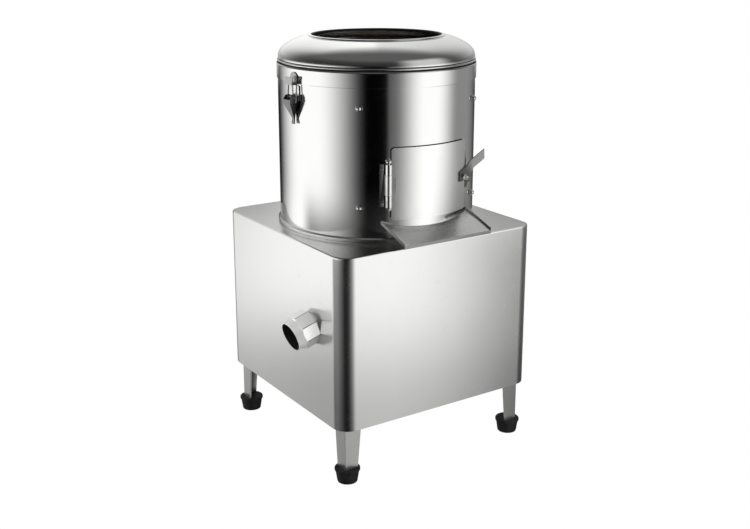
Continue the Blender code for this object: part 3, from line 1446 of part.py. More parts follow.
def make_spindle():
    """Bearing housing under the sump with its bearings and seal, and the spindle with disc and carrier."""
    flange_top = SUMP_UNDERSIDE - SEAT_GAP
    flange_foot = flange_top - HOUSING_FLANGE
    neck_top = SUMP_UNDERSIDE + SUMP_SHEET + HOUSING_NECK_RISE
    seat = BEARING_RADIUS + SEAT_GAP
    lower_seat = HOUSING_FOOT + BEARING_WIDTH + SEAT_GAP
    seal_foot = neck_top - SEAL_WIDTH - SEAT_GAP
    upper_seat = seal_foot - SEAT_GAP - BEARING_WIDTH - SEAT_GAP
    points = [
        (HOUSING_NECK_RADIUS, neck_top),
        (HOUSING_NECK_RADIUS, flange_top),
        (HOUSING_FLANGE_RADIUS, flange_top),
        (HOUSING_FLANGE_RADIUS, flange_foot),
        (HOUSING_BODY_RADIUS, flange_foot - HOUSING_FLANGE / 2),
        (HOUSING_BODY_RADIUS - HOUSING_TAPER, HOUSING_FOOT),
        (seat, HOUSING_FOOT),
        (seat, lower_seat),
        (HOUSING_WEB_RADIUS, lower_seat),
        (HOUSING_WEB_RADIUS, upper_seat),
        (seat, upper_seat),
        (seat, neck_top),
    ]
    housing = place("bearing_housing", profile_mesh("bearing_housing", points, True), "cast_grey")
    turn(housing, ROUND_SMALL)

    bore = SPINDLE_RADIUS + SEAT_GAP
    levels = {
        "bearing_lower": (lower_seat - SEAT_GAP - BEARING_WIDTH, BEARING_WIDTH, "polished_steel"),
        "bearing_upper": (upper_seat + SEAT_GAP, BEARING_WIDTH, "polished_steel"),
        "shaft_seal": (seal_foot, SEAL_WIDTH, "black_rubber"),
    }
    for name, (foot, height, finish) in levels.items():
        ring(name, BEARING_RADIUS, bore, foot, foot + height, finish, ROUND_SMALL)

    nut_foot = DISC_TOP + DISC_BOSS_HEIGHT + SEAT_GAP
    stub_top = nut_foot + DISC_NUT_HEIGHT / 2
    points = [
        (0, stub_top),
        (SPINDLE_STUB_RADIUS, stub_top),
        (SPINDLE_STUB_RADIUS, CARRIER_HEIGHT),
        (SPINDLE_RADIUS, CARRIER_HEIGHT),
        (SPINDLE_RADIUS, SPINDLE_FOOT + SPINDLE_BEVEL),
        (SPINDLE_RADIUS - SPINDLE_BEVEL, SPINDLE_FOOT),
        (0, SPINDLE_FOOT),
    ]
    turn(place("spindle", profile_mesh("spindle", points, False), "polished_steel"), ROUND_SMALL)

    rim = SUMP_RADIUS - CARRIER_RIM_MARGIN
    hub_foot = CARRIER_HEIGHT - CARRIER_HUB_LENGTH
    plate_foot = CARRIER_HEIGHT - CARRIER_SHEET
    points = [
        (rim, CARRIER_HEIGHT),
        (rim, plate_foot),
        (CARRIER_HUB_RADIUS, plate_foot),
        (CARRIER_HUB_RADIUS, hub_foot),
        (bore, hub_foot),
        (bore, CARRIER_HEIGHT),
    ]
    carrier = place("disc_carrier", turned_mesh("disc_carrier", points, ROUND_MEDIUM), "cast_grey")
    sweep_low = (CARRIER_HUB_RADIUS - SWEEPER_SHEET, -SWEEPER_SHEET / 2, plate_foot - SWEEPER_DROP)
    sweep_high = (rim - SWEEPER_SHEET, SWEEPER_SHEET / 2, plate_foot + CARRIER_SHEET / 2)
    for index in range(2):
        blade = block("sweeper_%d" % index, sweep_low, sweep_high)
        turned_frame = empty("sweeper_frame_%d" % index, (0, 0, 0), (0, 0, math.pi * index), MACHINE)
        combine(carrier, tool("sweeper_%d" % index, blade, turned_frame), "UNION")

    nut_top = nut_foot + DISC_NUT_HEIGHT
    flange = nut_foot + DISC_NUT_FLANGE
    nut_bore = SPINDLE_STUB_RADIUS + SEAT_GAP
    dome = DISC_NUT_RADIUS * DISC_NUT_DOME_SHARE
    crown = [
        (dome * across, nut_top - DISC_NUT_FLANGE * down) for across, down in DISC_NUT_CROWN_SHARES
    ]
    points = [(0, nut_top)] + crown + [
        (dome, flange + DISC_NUT_FLANGE / 2),
        (DISC_NUT_RADIUS, flange),
        (DISC_NUT_RADIUS, nut_foot),
        (nut_bore, nut_foot),
        (nut_bore, stub_top + SEAT_GAP),
        (0, stub_top + SEAT_GAP),
    ]
    turn(place("disc_nut", profile_mesh("disc_nut", points, False), "polished_steel"), ROUND_SMALL)


def wave_swell(share):
    """Height of a wave's crest between the boss and the rim, as a share of the wave height."""
    if share < WAVE_RISE_SHARE:
        return math.sin(math.pi / 2 * share / WAVE_RISE_SHARE)
    fall = max(0, share - WAVE_FALL_SHARE) / (1 - WAVE_FALL_SHARE)
    return 1 - fall * (1 - WAVE_RIM_SHARE)


def make_disc():
    """Grit-coated disc: a boss, a flat, and waves that swell towards the rim and lift the potatoes."""
    bore = SPINDLE_STUB_RADIUS + SEAT_GAP
    wave_start = DISC_BOSS_RADIUS + DISC_BOSS_HEIGHT
    edge = DISC_EDGE_RADIUS
    crown = DISC_RADIUS - edge
    top = [(DISC_BOSS_RADIUS, DISC_TOP + DISC_BOSS_HEIGHT)]
    top += [(wave_start + (crown - wave_start) * share, DISC_TOP) for share in DISC_RING_SHARES]
    rim = [(DISC_RADIUS, DISC_TOP - edge), (DISC_RADIUS, DISC_FOOT)]
    points = [(bore, DISC_TOP + DISC_BOSS_HEIGHT)] + top + rim + [(bore, DISC_FOOT)]
    mesh = turned_mesh("abrasive_disc", points, ROUND_DISC)
    middle_z = DISC_FOOT + DISC_THICKNESS / 2
    for vertex in mesh.vertices:
        radius = math.hypot(vertex.co.x, vertex.co.y)
        if vertex.co.z < middle_z or radius < wave_start:
            continue
        swell = wave_swell((radius - wave_start) / (DISC_RADIUS - wave_start))
        angle = math.atan2(vertex.co.y, vertex.co.x)
        crest = max(0, math.cos(angle * DISC_WAVES)) ** WAVE_CREST_POWER
        vertex.co.z += DISC_WAVE_HEIGHT * crest * swell
    smooth(mesh)
    place("abrasive_disc", mesh, "grit_disc")


def pulley_profile(radius, hub, hub_half, bore, web, rim):
    """Section of a V pulley centred on the belt line, with a thin web where the rim leaves room for one."""
    half = PULLEY_WIDTH / 2
    outer = [
        (radius, half),
        (radius, GROOVE_HALF_WIDTH),
        (radius - GROOVE_DEPTH, GROOVE_ROOT_HALF_WIDTH),
        (radius - GROOVE_DEPTH, -GROOVE_ROOT_HALF_WIDTH),
        (radius, -GROOVE_HALF_WIDTH),
        (radius, -half),
    ]
    inner = [(bore, -hub_half), (bore, hub_half)]
    if rim:
        lower = [(radius - rim, -half), (radius - rim, -web / 2), (hub, -web / 2), (hub, -hub_half)]
        upper = [(hub, hub_half), (hub, web / 2), (radius - rim, web / 2), (radius - rim, half)]
        return outer + lower + inner + upper
    return outer + [(hub, -half), (hub, -hub_half)] + inner + [(hub, hub_half), (hub, half)]


def make_belt_drive():
    """Large pulley on the spindle, small one on the motor, and the V belt round both."""
    half = PULLEY_WIDTH / 2
    bore = SPINDLE_RADIUS + SEAT_GAP
    points = pulley_profile(
        DRIVEN_PULLEY_RADIUS, DRIVEN_HUB_RADIUS, half, bore, DRIVEN_WEB, DRIVEN_RIM
    )
    level = (0, 0, PULLEY_HEIGHT)
    section = profile_mesh("driven_pulley", points, True)
    big = place("driven_pulley", section, "cast_grey", MACHINE, level)
    turn(big, ROUND_MEDIUM)
    web_inner, web_outer = DRIVEN_HUB_RADIUS, DRIVEN_PULLEY_RADIUS - DRIVEN_RIM
    hole_radius = (web_outer - web_inner) / 3
    for index in range(DRIVEN_HOLES):
        hole = rod("cut_web_%d" % index, hole_radius, -DRIVEN_WEB, DRIVEN_WEB, ROUND_TINY)
        spot = polar((web_inner + web_outer) / 2, 360 * (index + 1 / 4) / DRIVEN_HOLES)
        combine(big, tool("cut_web_%d" % index, hole, big, spot))

    motor_bore = MOTOR_SHAFT_RADIUS + SEAT_GAP
    hub = motor_bore + MOTOR_PULLEY_HUB
    points = pulley_profile(MOTOR_PULLEY_RADIUS, hub, half + CUT_OVERRUN / 2, motor_bore, 0, 0)
    section = profile_mesh("motor_pulley", points, True)
    small = place("motor_pulley", section, "cast_grey", MOTOR_AXIS, level)
    turn(small, ROUND_SMALL)

    big_line = DRIVEN_PULLEY_RADIUS
    small_line = MOTOR_PULLEY_RADIUS
    lean = math.degrees(math.acos((big_line - small_line) / MOTOR_DISTANCE))
    path = []
    steps = 26
    for step in range(steps + 1):
        angle = lean + (360 - 2 * lean) * step / steps
        path.append((0, big_line, angle))
    steps = 12
    for step in range(steps + 1):
        angle = -lean + 2 * lean * step / steps
        path.append((MOTOR_DISTANCE, small_line, angle))
    slant = (GROOVE_HALF_WIDTH - GROOVE_ROOT_HALF_WIDTH) / GROOVE_DEPTH
    bottom = BELT_TOP_INSET + BELT_DEPTH
    wide = GROOVE_HALF_WIDTH - slant * BELT_TOP_INSET - BELT_SIDE_GAP
    narrow = GROOVE_HALF_WIDTH - slant * bottom - BELT_SIDE_GAP
    belt_section = ((BELT_TOP_INSET, wide), (BELT_TOP_INSET, -wide), (bottom, -narrow), (bottom, narrow))
    bm = bmesh.new()
    loops = []
    for centre, radius, angle in path:
        turn_angle = math.radians(angle)
        loop = []
        for inset, height in belt_section:
            reach = radius - inset
            spot = (centre + reach * math.cos(turn_angle), reach * math.sin(turn_angle), height)
            loop.append(bm.verts.new(spot))
        loops.append(loop)
    for first, second in zip(loops, loops[1:] + loops[:1]):
        for index in range(len(belt_section)):
            after = (index + 1) % len(belt_section)
            bm.faces.new((first[index], first[after], second[after], second[index]))
    direction = math.radians(MOTOR_STATION) - math.pi / 2
    belt = mesh_from(bm, "drive_belt")
    place("drive_belt", belt, "black_rubber", MACHINE, level, (0, 0, direction))


def make_motor():
    """Finned motor hanging under its bracket, with its shaft, fan, fan cover and terminal box."""
    top = BRACKET_TOP - BRACKET_SHEET - SEAT_GAP
    flange_foot = top - MOTOR_FLANGE
    outline = []
    fin_step = 360 / MOTOR_FINS
    tip = MOTOR_FIN_SHARE
    root = MOTOR_FIN_SHARE * 3 / 2
    for index in range(MOTOR_FINS):
        middle = fin_step * index
        for radius, offset in (
            (MOTOR_CORE_RADIUS, -root),
            (MOTOR_FIN_RADIUS, -tip),
            (MOTOR_FIN_RADIUS, tip),
            (MOTOR_CORE_RADIUS, root),
        ):
            spot = polar(radius, middle + fin_step * offset)
            outline.append((spot.x, spot.y))
    length = flange_foot - MOTOR_FOOT
    body = place("motor_body", prism("motor_body", outline, length), "motor_paint", MOTOR_AXIS)
    moved(body.data, Matrix.Translation((0, 0, MOTOR_FOOT + length / 2)))
    flange = rod("motor_flange", MOTOR_FLANGE_RADIUS, flange_foot - CUT_OVERRUN, top, ROUND_MEDIUM)
    combine(body, tool("motor_flange", flange, MOTOR_AXIS), "UNION")
    shaft_bore = rod(
        "cut_motor_bore",
        MOTOR_SHAFT_RADIUS + SEAT_GAP,
        MOTOR_FOOT - CUT_OVERRUN,
        top + CUT_OVERRUN,
        ROUND_SMALL,
    )
    combine(body, tool("cut_motor_bore", shaft_bore, MOTOR_AXIS))

    fan_top = MOTOR_FOOT - CUT_OVERRUN
    fan_foot = fan_top - FAN_HEIGHT
    shaft_top = PULLEY_HEIGHT + PULLEY_WIDTH / 2 + CUT_OVERRUN
    shaft = rod("motor_shaft", MOTOR_SHAFT_RADIUS, fan_foot, shaft_top, ROUND_SMALL)
    place("motor_shaft", shaft, "polished_steel", MOTOR_AXIS)

    fan_bore = MOTOR_SHAFT_RADIUS + SEAT_GAP
    points = [
        (FAN_RADIUS, fan_top),
        (FAN_RADIUS, fan_top - FAN_SHEET),
        (FAN_HUB_RADIUS, fan_top - FAN_SHEET),
        (FAN_HUB_RADIUS, fan_foot),
        (fan_bore, fan_foot),
        (fan_bore, fan_top),
    ]
    fan = place("motor_fan", turned_mesh("motor_fan", points, ROUND_SMALL), "black_plastic", MOTOR_AXIS)
    blade_low = (FAN_HUB_RADIUS - FAN_SHEET, -FAN_SHEET / 2, fan_foot)
    blade_high = (FAN_RADIUS - FAN_SHEET, FAN_SHEET / 2, fan_top - FAN_SHEET / 2)
    for index in range(FAN_BLADES):
        blade = block("fan_blade_%d" % index, blade_low, blade_high)
        spot = empty(
            "fan_frame_%d" % index, (0, 0, 0), (0, 0, 2 * math.pi * index / FAN_BLADES), MOTOR_AXIS
        )
        combine(fan, tool("fan_blade_%d" % index, blade, spot), "UNION")

    cover_inner = (MOTOR_FIN_RADIUS + SEAT_GAP) / math.cos(math.pi / ROUND_MEDIUM)
    cover_outer = cover_inner + FAN_COVER_SHEET
    cover_top = MOTOR_FOOT + FAN_COVER_LAP
    cover_foot = MOTOR_FOOT - FAN_COVER_DROP
    vent = FAN_HUB_RADIUS
    points = [
        (cover_outer, cover_top),
        (cover_outer, cover_foot),
        (vent, cover_foot),
        (vent, cover_foot + FAN_COVER_SHEET),
        (cover_inner, cover_foot + FAN_COVER_SHEET),
        (cover_inner, cover_top),
    ]
    cover = place("fan_cover", profile_mesh("fan_cover", points, True), "motor_paint", MOTOR_AXIS)
    turn(cover, ROUND_MEDIUM)
    slot_reach = (vent + FAN_RADIUS) / 2
    slot_radius = (FAN_RADIUS - vent) / 4
    for index in range(FAN_COVER_SLOTS):
        low, high = cover_foot - CUT_OVERRUN, cover_foot + CUT_OVERRUN
        hole = rod("cut_vent_%d" % index, slot_radius, low, high, ROUND_TINY)
        spot = polar(slot_reach, 360 * (index + 1 / 4) / FAN_COVER_SLOTS)
        combine(cover, tool("cut_vent_%d" % index, hole, MOTOR_AXIS, spot))

    box_frame = empty("terminal_frame", (0, 0, 0), (0, 0, math.radians(MOTOR_STATION)), MOTOR_AXIS)
    middle = (MOTOR_FOOT + flange_foot) / 2
    outline = rounded_rectangle(
        (-TERMINAL_BOX_WIDTH / 2, middle - TERMINAL_BOX_HEIGHT / 2),
        (TERMINAL_BOX_WIDTH / 2, middle + TERMINAL_BOX_HEIGHT / 2),
        TERMINAL_BOX_DEPTH / 6,
    )
    box = upright(prism("terminal_box", outline, TERMINAL_BOX_DEPTH))
    back = MOTOR_FIN_RADIUS + SEAT_GAP
    spot = (0, -back - TERMINAL_BOX_DEPTH / 2, 0)
    place("terminal_box", moved(box, Matrix.Translation(spot)), "black_plastic", box_frame)


def make_motor_bracket():
    """Folded plate on the right wall that the motor hangs from, with a gusset at each side."""
    wall = INNER_WALL - SEAT_GAP
    foot = BRACKET_TOP - BRACKET_SHEET
    rise = BRACKET_TOP + BRACKET_RISE
    outline = [
        (BRACKET_INNER, foot),
        (wall, foot),
        (wall, rise),
        (wall - BRACKET_SHEET, rise),
        (wall - BRACKET_SHEET, BRACKET_TOP),
        (BRACKET_INNER, BRACKET_TOP),
    ]
    depth = BRACKET_BACK - BRACKET_FRONT
    middle = (BRACKET_BACK + BRACKET_FRONT) / 2
    folded = upright(prism("motor_bracket", outline, depth))
    bracket = place("motor_bracket", folded, "plated_steel", MACHINE, (0, middle, 0))
    gusset_foot = foot + BRACKET_SHEET / 2
    gusset_back = wall - BRACKET_SHEET / 2
    gusset = [(gusset_back, gusset_foot), (gusset_back, rise), (wall - BRACKET_RISE, gusset_foot)]
    for index, edge in enumerate((BRACKET_FRONT + BRACKET_SHEET, BRACKET_BACK - BRACKET_SHEET)):
        side = upright(prism("gusset_%d" % index, gusset, BRACKET_SHEET))
        combine(bracket, tool("gusset_%d" % index, side, MACHINE, (0, edge, 0)), "UNION")
    hole = rod("cut_bracket_bore", BRACKET_BORE, foot - CUT_OVERRUN, BRACKET_TOP + CUT_OVERRUN, ROUND_SMALL)
    combine(bracket, tool("cut_bracket_bore", hole, MOTOR_AXIS))


def make_switch_box():
    """Control box on the right wall: a start button above a mushroom stop button, each in its bezel."""
    half_width, half_height = SWITCH_WIDTH / 2, SWITCH_HEIGHT / 2
    outline = rounded_rectangle((-half_height, -half_width), (half_height, half_width), SWITCH_CORNER_RADIUS)
    shell = prism("switch_box", outline, SWITCH_DEPTH)
    moved(shell, Matrix.Translation((0, 0, SWITCH_DEPTH / 2)))
    box = place("switch_box", shell, "grey_plastic", SWITCH_AXIS)
    socket_foot = SWITCH_DEPTH - SWITCH_SOCKET_DEPTH
    face = SWITCH_DEPTH + SWITCH_BEZEL
    for name, sign, stem in (("start", -1, BUTTON_RADIUS), ("stop", 1, MUSHROOM_STEM_RADIUS)):
        spot = (sign * SWITCH_BUTTON_SPACING / 2, 0, 0)
        rim = SWITCH_BEZEL_RADIUS - SWITCH_BEZEL / 2
        root = SWITCH_DEPTH - SWITCH_BEZEL
        bezel = rod("bezel_" + name, SWITCH_BEZEL_RADIUS, root, face, ROUND_SMALL, rim)
        combine(box, tool("bezel_" + name, bezel, SWITCH_AXIS, spot), "UNION")
        socket = rod("cut_socket_" + name, stem + SEAT_GAP, socket_foot, face + CUT_OVERRUN)
        combine(box, tool("cut_socket_" + name, socket, SWITCH_AXIS, spot))

    stem_foot = socket_foot + BUTTON_TRAVEL * 2
    start_top = face + BUTTON_PROUD
    points = [
        (0, start_top),
        (BUTTON_RADIUS - BUTTON_PROUD / 4, start_top),
        (BUTTON_RADIUS, start_top - BUTTON_PROUD / 4),
        (BUTTON_RADIUS, stem_foot),
        (0, stem_foot),
    ]
    spot = (-SWITCH_BUTTON_SPACING / 2, 0, 0)
    section = profile_mesh("start_button", points, False)
    start = place("start_button", section, "green_plastic", SWITCH_AXIS, spot)
    turn(start, ROUND_SMALL)

    head_foot = face + BUTTON_TRAVEL + RUNNING_GAP
    head_top = head_foot + MUSHROOM_HEIGHT - RUNNING_GAP
    cap = head_top - head_foot
    crown = [(MUSHROOM_RADIUS * across, head_foot + cap * rise) for across, rise in MUSHROOM_CAP_SHARES]
    points = [(0, head_top)] + crown + [
        (MUSHROOM_STEM_RADIUS, head_foot),
        (MUSHROOM_STEM_RADIUS, stem_foot),
        (0, stem_foot),
    ]
    spot = (SWITCH_BUTTON_SPACING / 2, 0, 0)
    section = profile_mesh("stop_button", points, False)
    stop = place("stop_button", section, "red_plastic", SWITCH_AXIS, spot)
    turn(stop, ROUND_SMALL)


def make_rear_fittings():
    """Service panel with louvre slots, the cable gland and the water inlet, all on the hidden side."""
    low = (-PANEL_WIDTH / 2, PANEL_MIDDLE - PANEL_HEIGHT / 2)
    high = (PANEL_WIDTH / 2, PANEL_MIDDLE + PANEL_HEIGHT / 2)
    sheet = upright(prism("service_panel", rounded_rectangle(low, high, PANEL_CORNER_RADIUS), PANEL_SHEET))
    out = CABINET_HALF + SEAT_GAP + PANEL_SHEET / 2
    panel = place("service_panel", sheet, "satin_steel", MACHINE, (0, out, 0))
    for side in (-1, 1):
        for row in range(LOUVRE_COUNT):
            name = "cut_louvre_%d_%d" % (side + 1, row)
            height = PANEL_MIDDLE + LOUVRE_PITCH * (row - (LOUVRE_COUNT - 1) / 2)
            middle = side * LOUVRE_WIDTH * LOUVRE_OFFSET_SHARE
            slot = block(
                name,
                (middle - LOUVRE_WIDTH / 2, -CUT_OVERRUN, height - LOUVRE_SLOT / 2),
                (middle + LOUVRE_WIDTH / 2, CUT_OVERRUN, height + LOUVRE_SLOT / 2),
            )
            combine(panel, tool(name, slot, panel))

    hex_top = GLAND_HEX + SEAT_GAP
    points = [
        (GLAND_BORE, GLAND_REACH),
        (GLAND_CAP_RADIUS * GLAND_MOUTH_SHARE, GLAND_REACH),
        (GLAND_CAP_RADIUS, GLAND_REACH - GLAND_HEX / 2),
        (GLAND_CAP_RADIUS, hex_top),
        (GLAND_HEX_RADIUS, hex_top),
        (GLAND_HEX_RADIUS, SEAT_GAP),
        (GLAND_THREAD_RADIUS, SEAT_GAP),
        (GLAND_THREAD_RADIUS, -GLAND_TAIL),
        (GLAND_BORE, -GLAND_TAIL),
    ]
    gland = place("cable_gland", profile_mesh("cable_gland", points, True), "black_plastic", GLAND_AXIS)
    turn(gland, ROUND_SMALL)
    outline = regular_polygon(GLAND_CAP_RADIUS + SEAT_GAP, HEX_FLATS)
    flats = prism("guide_gland_flats", outline, GLAND_REACH * 3)
    combine(gland, tool("guide_gland_flats", flats, GLAND_AXIS), "INTERSECT")

    collar_foot = SEAT_GAP * 4
    collar_top = collar_foot + INLET_COLLAR
    points = [(INLET_BORE, INLET_REACH), (INLET_RADIUS - INLET_BARB, INLET_REACH)]
    barb_length = (INLET_REACH - collar_top) / 3
    for index in range(2):
        start = INLET_REACH - barb_length * index
        points.append((INLET_RADIUS, start - barb_length * INLET_BARB_SHARE))
        points.append((INLET_RADIUS - INLET_BARB, start - barb_length))
    points += [
        (INLET_RADIUS - INLET_BARB, collar_top),
        (INLET_COLLAR_RADIUS, collar_top),
        (INLET_COLLAR_RADIUS, collar_foot),
        (INLET_RADIUS, collar_foot),
        (INLET_RADIUS, LINER_INNER - BARREL_RADIUS - CUT_OVERRUN / 2),
        (INLET_BORE, LINER_INNER - BARREL_RADIUS - CUT_OVERRUN / 2),
    ]
    inlet = place("water_inlet", profile_mesh("water_inlet", points, True), "polished_steel", INLET_AXIS)
    turn(inlet, ROUND_SMALL)
    outline = regular_polygon(INLET_COLLAR_RADIUS * INLET_FLAT_SHARE, HEX_FLATS)
    flats = prism("guide_inlet_flats", outline, INLET_REACH * 3)
    combine(inlet, tool("guide_inlet_flats", flats, INLET_AXIS), "INTERSECT")


DOORWAY_CUTTER, INLET_CUTTER, STUD_CUTTERS = make_barrel_cutters()
make_cabinet()
make_legs()
make_barrel()
make_liner()
make_lid()
make_latches()
make_hinge()
make_door()
make_door_lever()
make_lever_hook()
make_chute()
make_sump()
make_drain()
make_spindle()
make_disc()
make_belt_drive()
make_motor()
make_motor_bracket()
make_switch_box()
make_rear_fittings()
bpy.context.view_layer.update()
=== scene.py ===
"""Electric potato peeler: smooth sheet-metal skins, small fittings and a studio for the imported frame."""

import json
import math

import bmesh
import bpy
from mathutils import Matrix, Vector

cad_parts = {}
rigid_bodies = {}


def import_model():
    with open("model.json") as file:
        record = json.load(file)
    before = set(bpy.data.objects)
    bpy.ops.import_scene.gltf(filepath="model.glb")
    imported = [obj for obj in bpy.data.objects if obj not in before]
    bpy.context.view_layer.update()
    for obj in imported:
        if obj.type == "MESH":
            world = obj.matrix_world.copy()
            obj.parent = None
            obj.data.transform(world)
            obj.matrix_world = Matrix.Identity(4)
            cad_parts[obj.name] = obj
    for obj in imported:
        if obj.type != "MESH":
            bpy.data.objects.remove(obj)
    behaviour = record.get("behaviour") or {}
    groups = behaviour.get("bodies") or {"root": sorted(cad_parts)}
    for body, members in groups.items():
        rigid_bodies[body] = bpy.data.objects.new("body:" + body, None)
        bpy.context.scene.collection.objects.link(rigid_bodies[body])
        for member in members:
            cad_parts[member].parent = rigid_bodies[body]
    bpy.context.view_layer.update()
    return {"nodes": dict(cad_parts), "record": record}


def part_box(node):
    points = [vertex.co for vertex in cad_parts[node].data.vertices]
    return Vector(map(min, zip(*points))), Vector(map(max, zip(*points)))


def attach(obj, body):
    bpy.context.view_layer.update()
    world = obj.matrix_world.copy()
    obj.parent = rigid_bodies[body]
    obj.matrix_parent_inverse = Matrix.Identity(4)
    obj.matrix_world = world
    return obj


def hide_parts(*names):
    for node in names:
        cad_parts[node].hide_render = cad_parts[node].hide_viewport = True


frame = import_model()

NODES = frame["nodes"]
RECORD = frame["record"]
BODY_OF = {node: body for body, nodes in RECORD["behaviour"]["bodies"].items() for node in nodes}
SLOT_OF = {entry["node"]: entry["material_slot"] for entry in RECORD["subparts"]}
DRESSED = set()
CORNERS = ("front_left", "front_right", "rear_left", "rear_right")


def middle_of(node):
    low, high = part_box(node)
    return (low + high) / 2


# ---- sizes repeated from the CAD, in metres; a station is an angle round the barrel, 0 degrees at its front
AXIS = Vector((*middle_of("barrel").xy, 0))
HERE = Matrix.Identity(4)
ON_AXIS = Matrix.Translation(AXIS)
SEAT_GAP = 0.0003
SHEET = 0.002
BARREL_RADIUS = 0.2065
BARREL_TOP = 0.806
BARREL_FOOT = 0.4763
DOORWAY_FOOT = 0.530
DOORWAY_TOP = 0.657
DOORWAY_MARGIN = 0.009
DOOR_RADIUS = 0.2088
LID_BAND_RADIUS = 0.2085
LID_INNER_RADIUS = 0.199
STUD_STATIONS = (-43.0, 38.0, 137.0, -137.0)
STUD_HEIGHTS = (0.545, 0.743)
HINGE_STATION = -27.2
HINGE_REACH = 0.007
LEVER_STATION = 23.0
LEVER_HEIGHT = 0.590
LATCH_STATIONS = {"left": -85.0, "right": 95.0}
LATCH_PIVOT_REACH = 0.010
LATCH_PIVOT_HEIGHT = 0.754
KEEPER_FOOT = 0.7795
CABINET_HALF = 0.240


# ---- wiring of shader nodes
class Wire:
    """A shader socket that adds, subtracts and multiplies like a number."""

    def __init__(self, surface, socket):
        self.surface = surface
        self.socket = socket

    def maths(self, operation, *others):
        return self.surface.add("Math", "Value", {"operation": operation}, self, *others)

    def __add__(self, other):
        return self.maths("ADD", other)

    def __sub__(self, other):
        return self.maths("SUBTRACT", other)

    def __rsub__(self, other):
        return self.surface.add("Math", "Value", {"operation": "SUBTRACT"}, other, self)

    def __mul__(self, other):
        return self.maths("MULTIPLY", other)

    __radd__ = __add__
    __rmul__ = __mul__

    def between(self, low, high):
        """0 below low and 1 above high, with soft ends."""
        settings = {"interpolation_type": "SMOOTHSTEP"}
        return self.surface.add("MapRange", "Result", settings, self, low, high, 0.0, 1.0)

    def span(self, start, full, fading, end):
        """Rises from start to full, and falls from fading to end."""
        return self.between(start, full) * self.between(end, fading)

    def lit(self, box):
        """Glow of a box (centre, reach, softness, strength), which fades out over its softness."""
        centre, reach, soft, strength = box
        return (self - centre).maths("ABSOLUTE").between(reach + soft, reach) * strength


class Surface:
    """A node material, with helpers that add its nodes one by one."""

    def __init__(self, name, tree=None):
        if tree is None:
            self.material = bpy.data.materials.new(name)
            self.material.use_nodes = True
            tree = self.material.node_tree
        self.tree = tree
        tree.nodes.clear()

    def add(self, kind, output, settings, *inputs, **named):
        """One shader node with its settings and inputs, given back as the wire from one of its outputs."""
        node = self.tree.nodes.new("ShaderNode" + kind)
        for key, value in settings.items():
            setattr(node, key, value)
        for key, value in list(enumerate(inputs)) + list(named.items()):
            self.feed(node.inputs[key.replace("_", " ") if isinstance(key, str) else key], value)
        return Wire(self, node.outputs[output])

    def feed(self, socket, value):
        if isinstance(value, Wire):
            self.tree.links.new(value.socket, socket)
        else:
            socket.default_value = value

    def place(self, scale=(1, 1, 1)):
        """Object coordinates in metres, stretched."""
        base = self.add("TexCoord", "Object", {})
        return self.add("VectorMath", "Vector", {"operation": "MULTIPLY"}, base, scale)

    def noise(self, size, detail=3.0, scale=(1, 1, 1)):
        """Soft noise from 0 to 1 whose patches are about this size."""
        values = {"Scale": 1 / size, "Detail": detail, "Roughness": 0.55}
        return self.add("TexNoise", "Fac", {}, self.place(scale), **values)

    def cells(self, size, output="Distance"):
        """Cells of about this size: the distance to their middles, or a colour for each."""
        return self.add("TexVoronoi", output, {}, Vector=self.place(), Scale=1 / size)

    def mixed(self, kind, factor, first, second):
        node = self.tree.nodes.new("ShaderNodeMix")
        node.data_type, node.blend_type = "RGBA", kind
        for place, value in ((0, factor), (6, first), (7, second)):
            self.feed(node.inputs[place], (*value, 1) if isinstance(value, tuple) else value)
        return Wire(self, node.outputs[2])

    def tint(self, colour, factor):
        """Colour scaled by a varying factor."""
        return self.mixed("MULTIPLY", 1.0, colour, factor)

    def blend(self, factor, first, second):
        """From the first colour at 0 to the second at 1."""
        return self.mixed("MIX", factor, first, second)

    def bump(self, height, distance, strength, **below):
        values = {"Strength": strength, "Distance": distance, "Height": height, **below}
        return self.add("Bump", "Normal", {}, **values)

    def shader(self, colour, roughness, metallic=0.0, **more):
        base = (*colour, 1) if isinstance(colour, tuple) else colour
        values = {"Base Color": base, "Roughness": roughness, "Metallic": metallic, **more}
        return self.add("BsdfPrincipled", 0, {}, **values)

    def output(self, wire):
        output = self.tree.nodes.new("ShaderNodeOutputMaterial")
        self.tree.links.new(wire.socket, output.inputs[0])
        return self.material

    def finish(self, *values, **more):
        """The whole material of one shader."""
        return self.output(self.shader(*values, **more))


# ---- finishes
def along(axes, share=0.03):
    """Scale that draws a pattern out along these axes."""
    return tuple(share if axis in axes else 1.0 for axis in "XYZ")


def steel(name, colour, roughness, grain, line_depth, metallic=1.0):
    """Stainless sheet: fine grinding lines along its grain, faint smudges and the sway of thin sheet."""
    smudge = 0.05
    surface = Surface(name)
    lines = surface.noise(size=0.0005, detail=2.0, scale=grain)
    cloud = surface.noise(size=0.09)
    print_marks = surface.noise(size=0.018, detail=4.0).between(0.52, 0.75)
    wave = surface.noise(size=0.16, detail=1.0)
    shade = cloud * 0.05 + lines * 0.05 + 0.95
    rough = cloud * smudge + lines * 0.06 + print_marks * (smudge * 0.6) + (roughness - smudge / 2 - 0.03)
    sway = surface.bump(wave, distance=0.002, strength=0.12)
    normal = surface.bump(lines, distance=line_depth * 1e-6, strength=0.35, Normal=sway)
    return surface.finish(surface.tint(colour, shade), rough, metallic, Normal=normal)


def rubber(name, colour):
    """Moulded rubber with a fine grain and some dust."""
    surface = Surface(name)
    grain = surface.noise(size=0.0012)
    dust = surface.noise(size=0.02, detail=5.0).between(0.45, 0.8)
    dusty = tuple(min(1, c * 2.6 + 0.008) for c in colour)
    tone = surface.blend(dust * 0.30, colour, dusty)
    rough = dust * 0.15 + grain * 0.1 + 0.58
    return surface.finish(tone, rough, Normal=surface.bump(grain, distance=0.0002, strength=0.5))


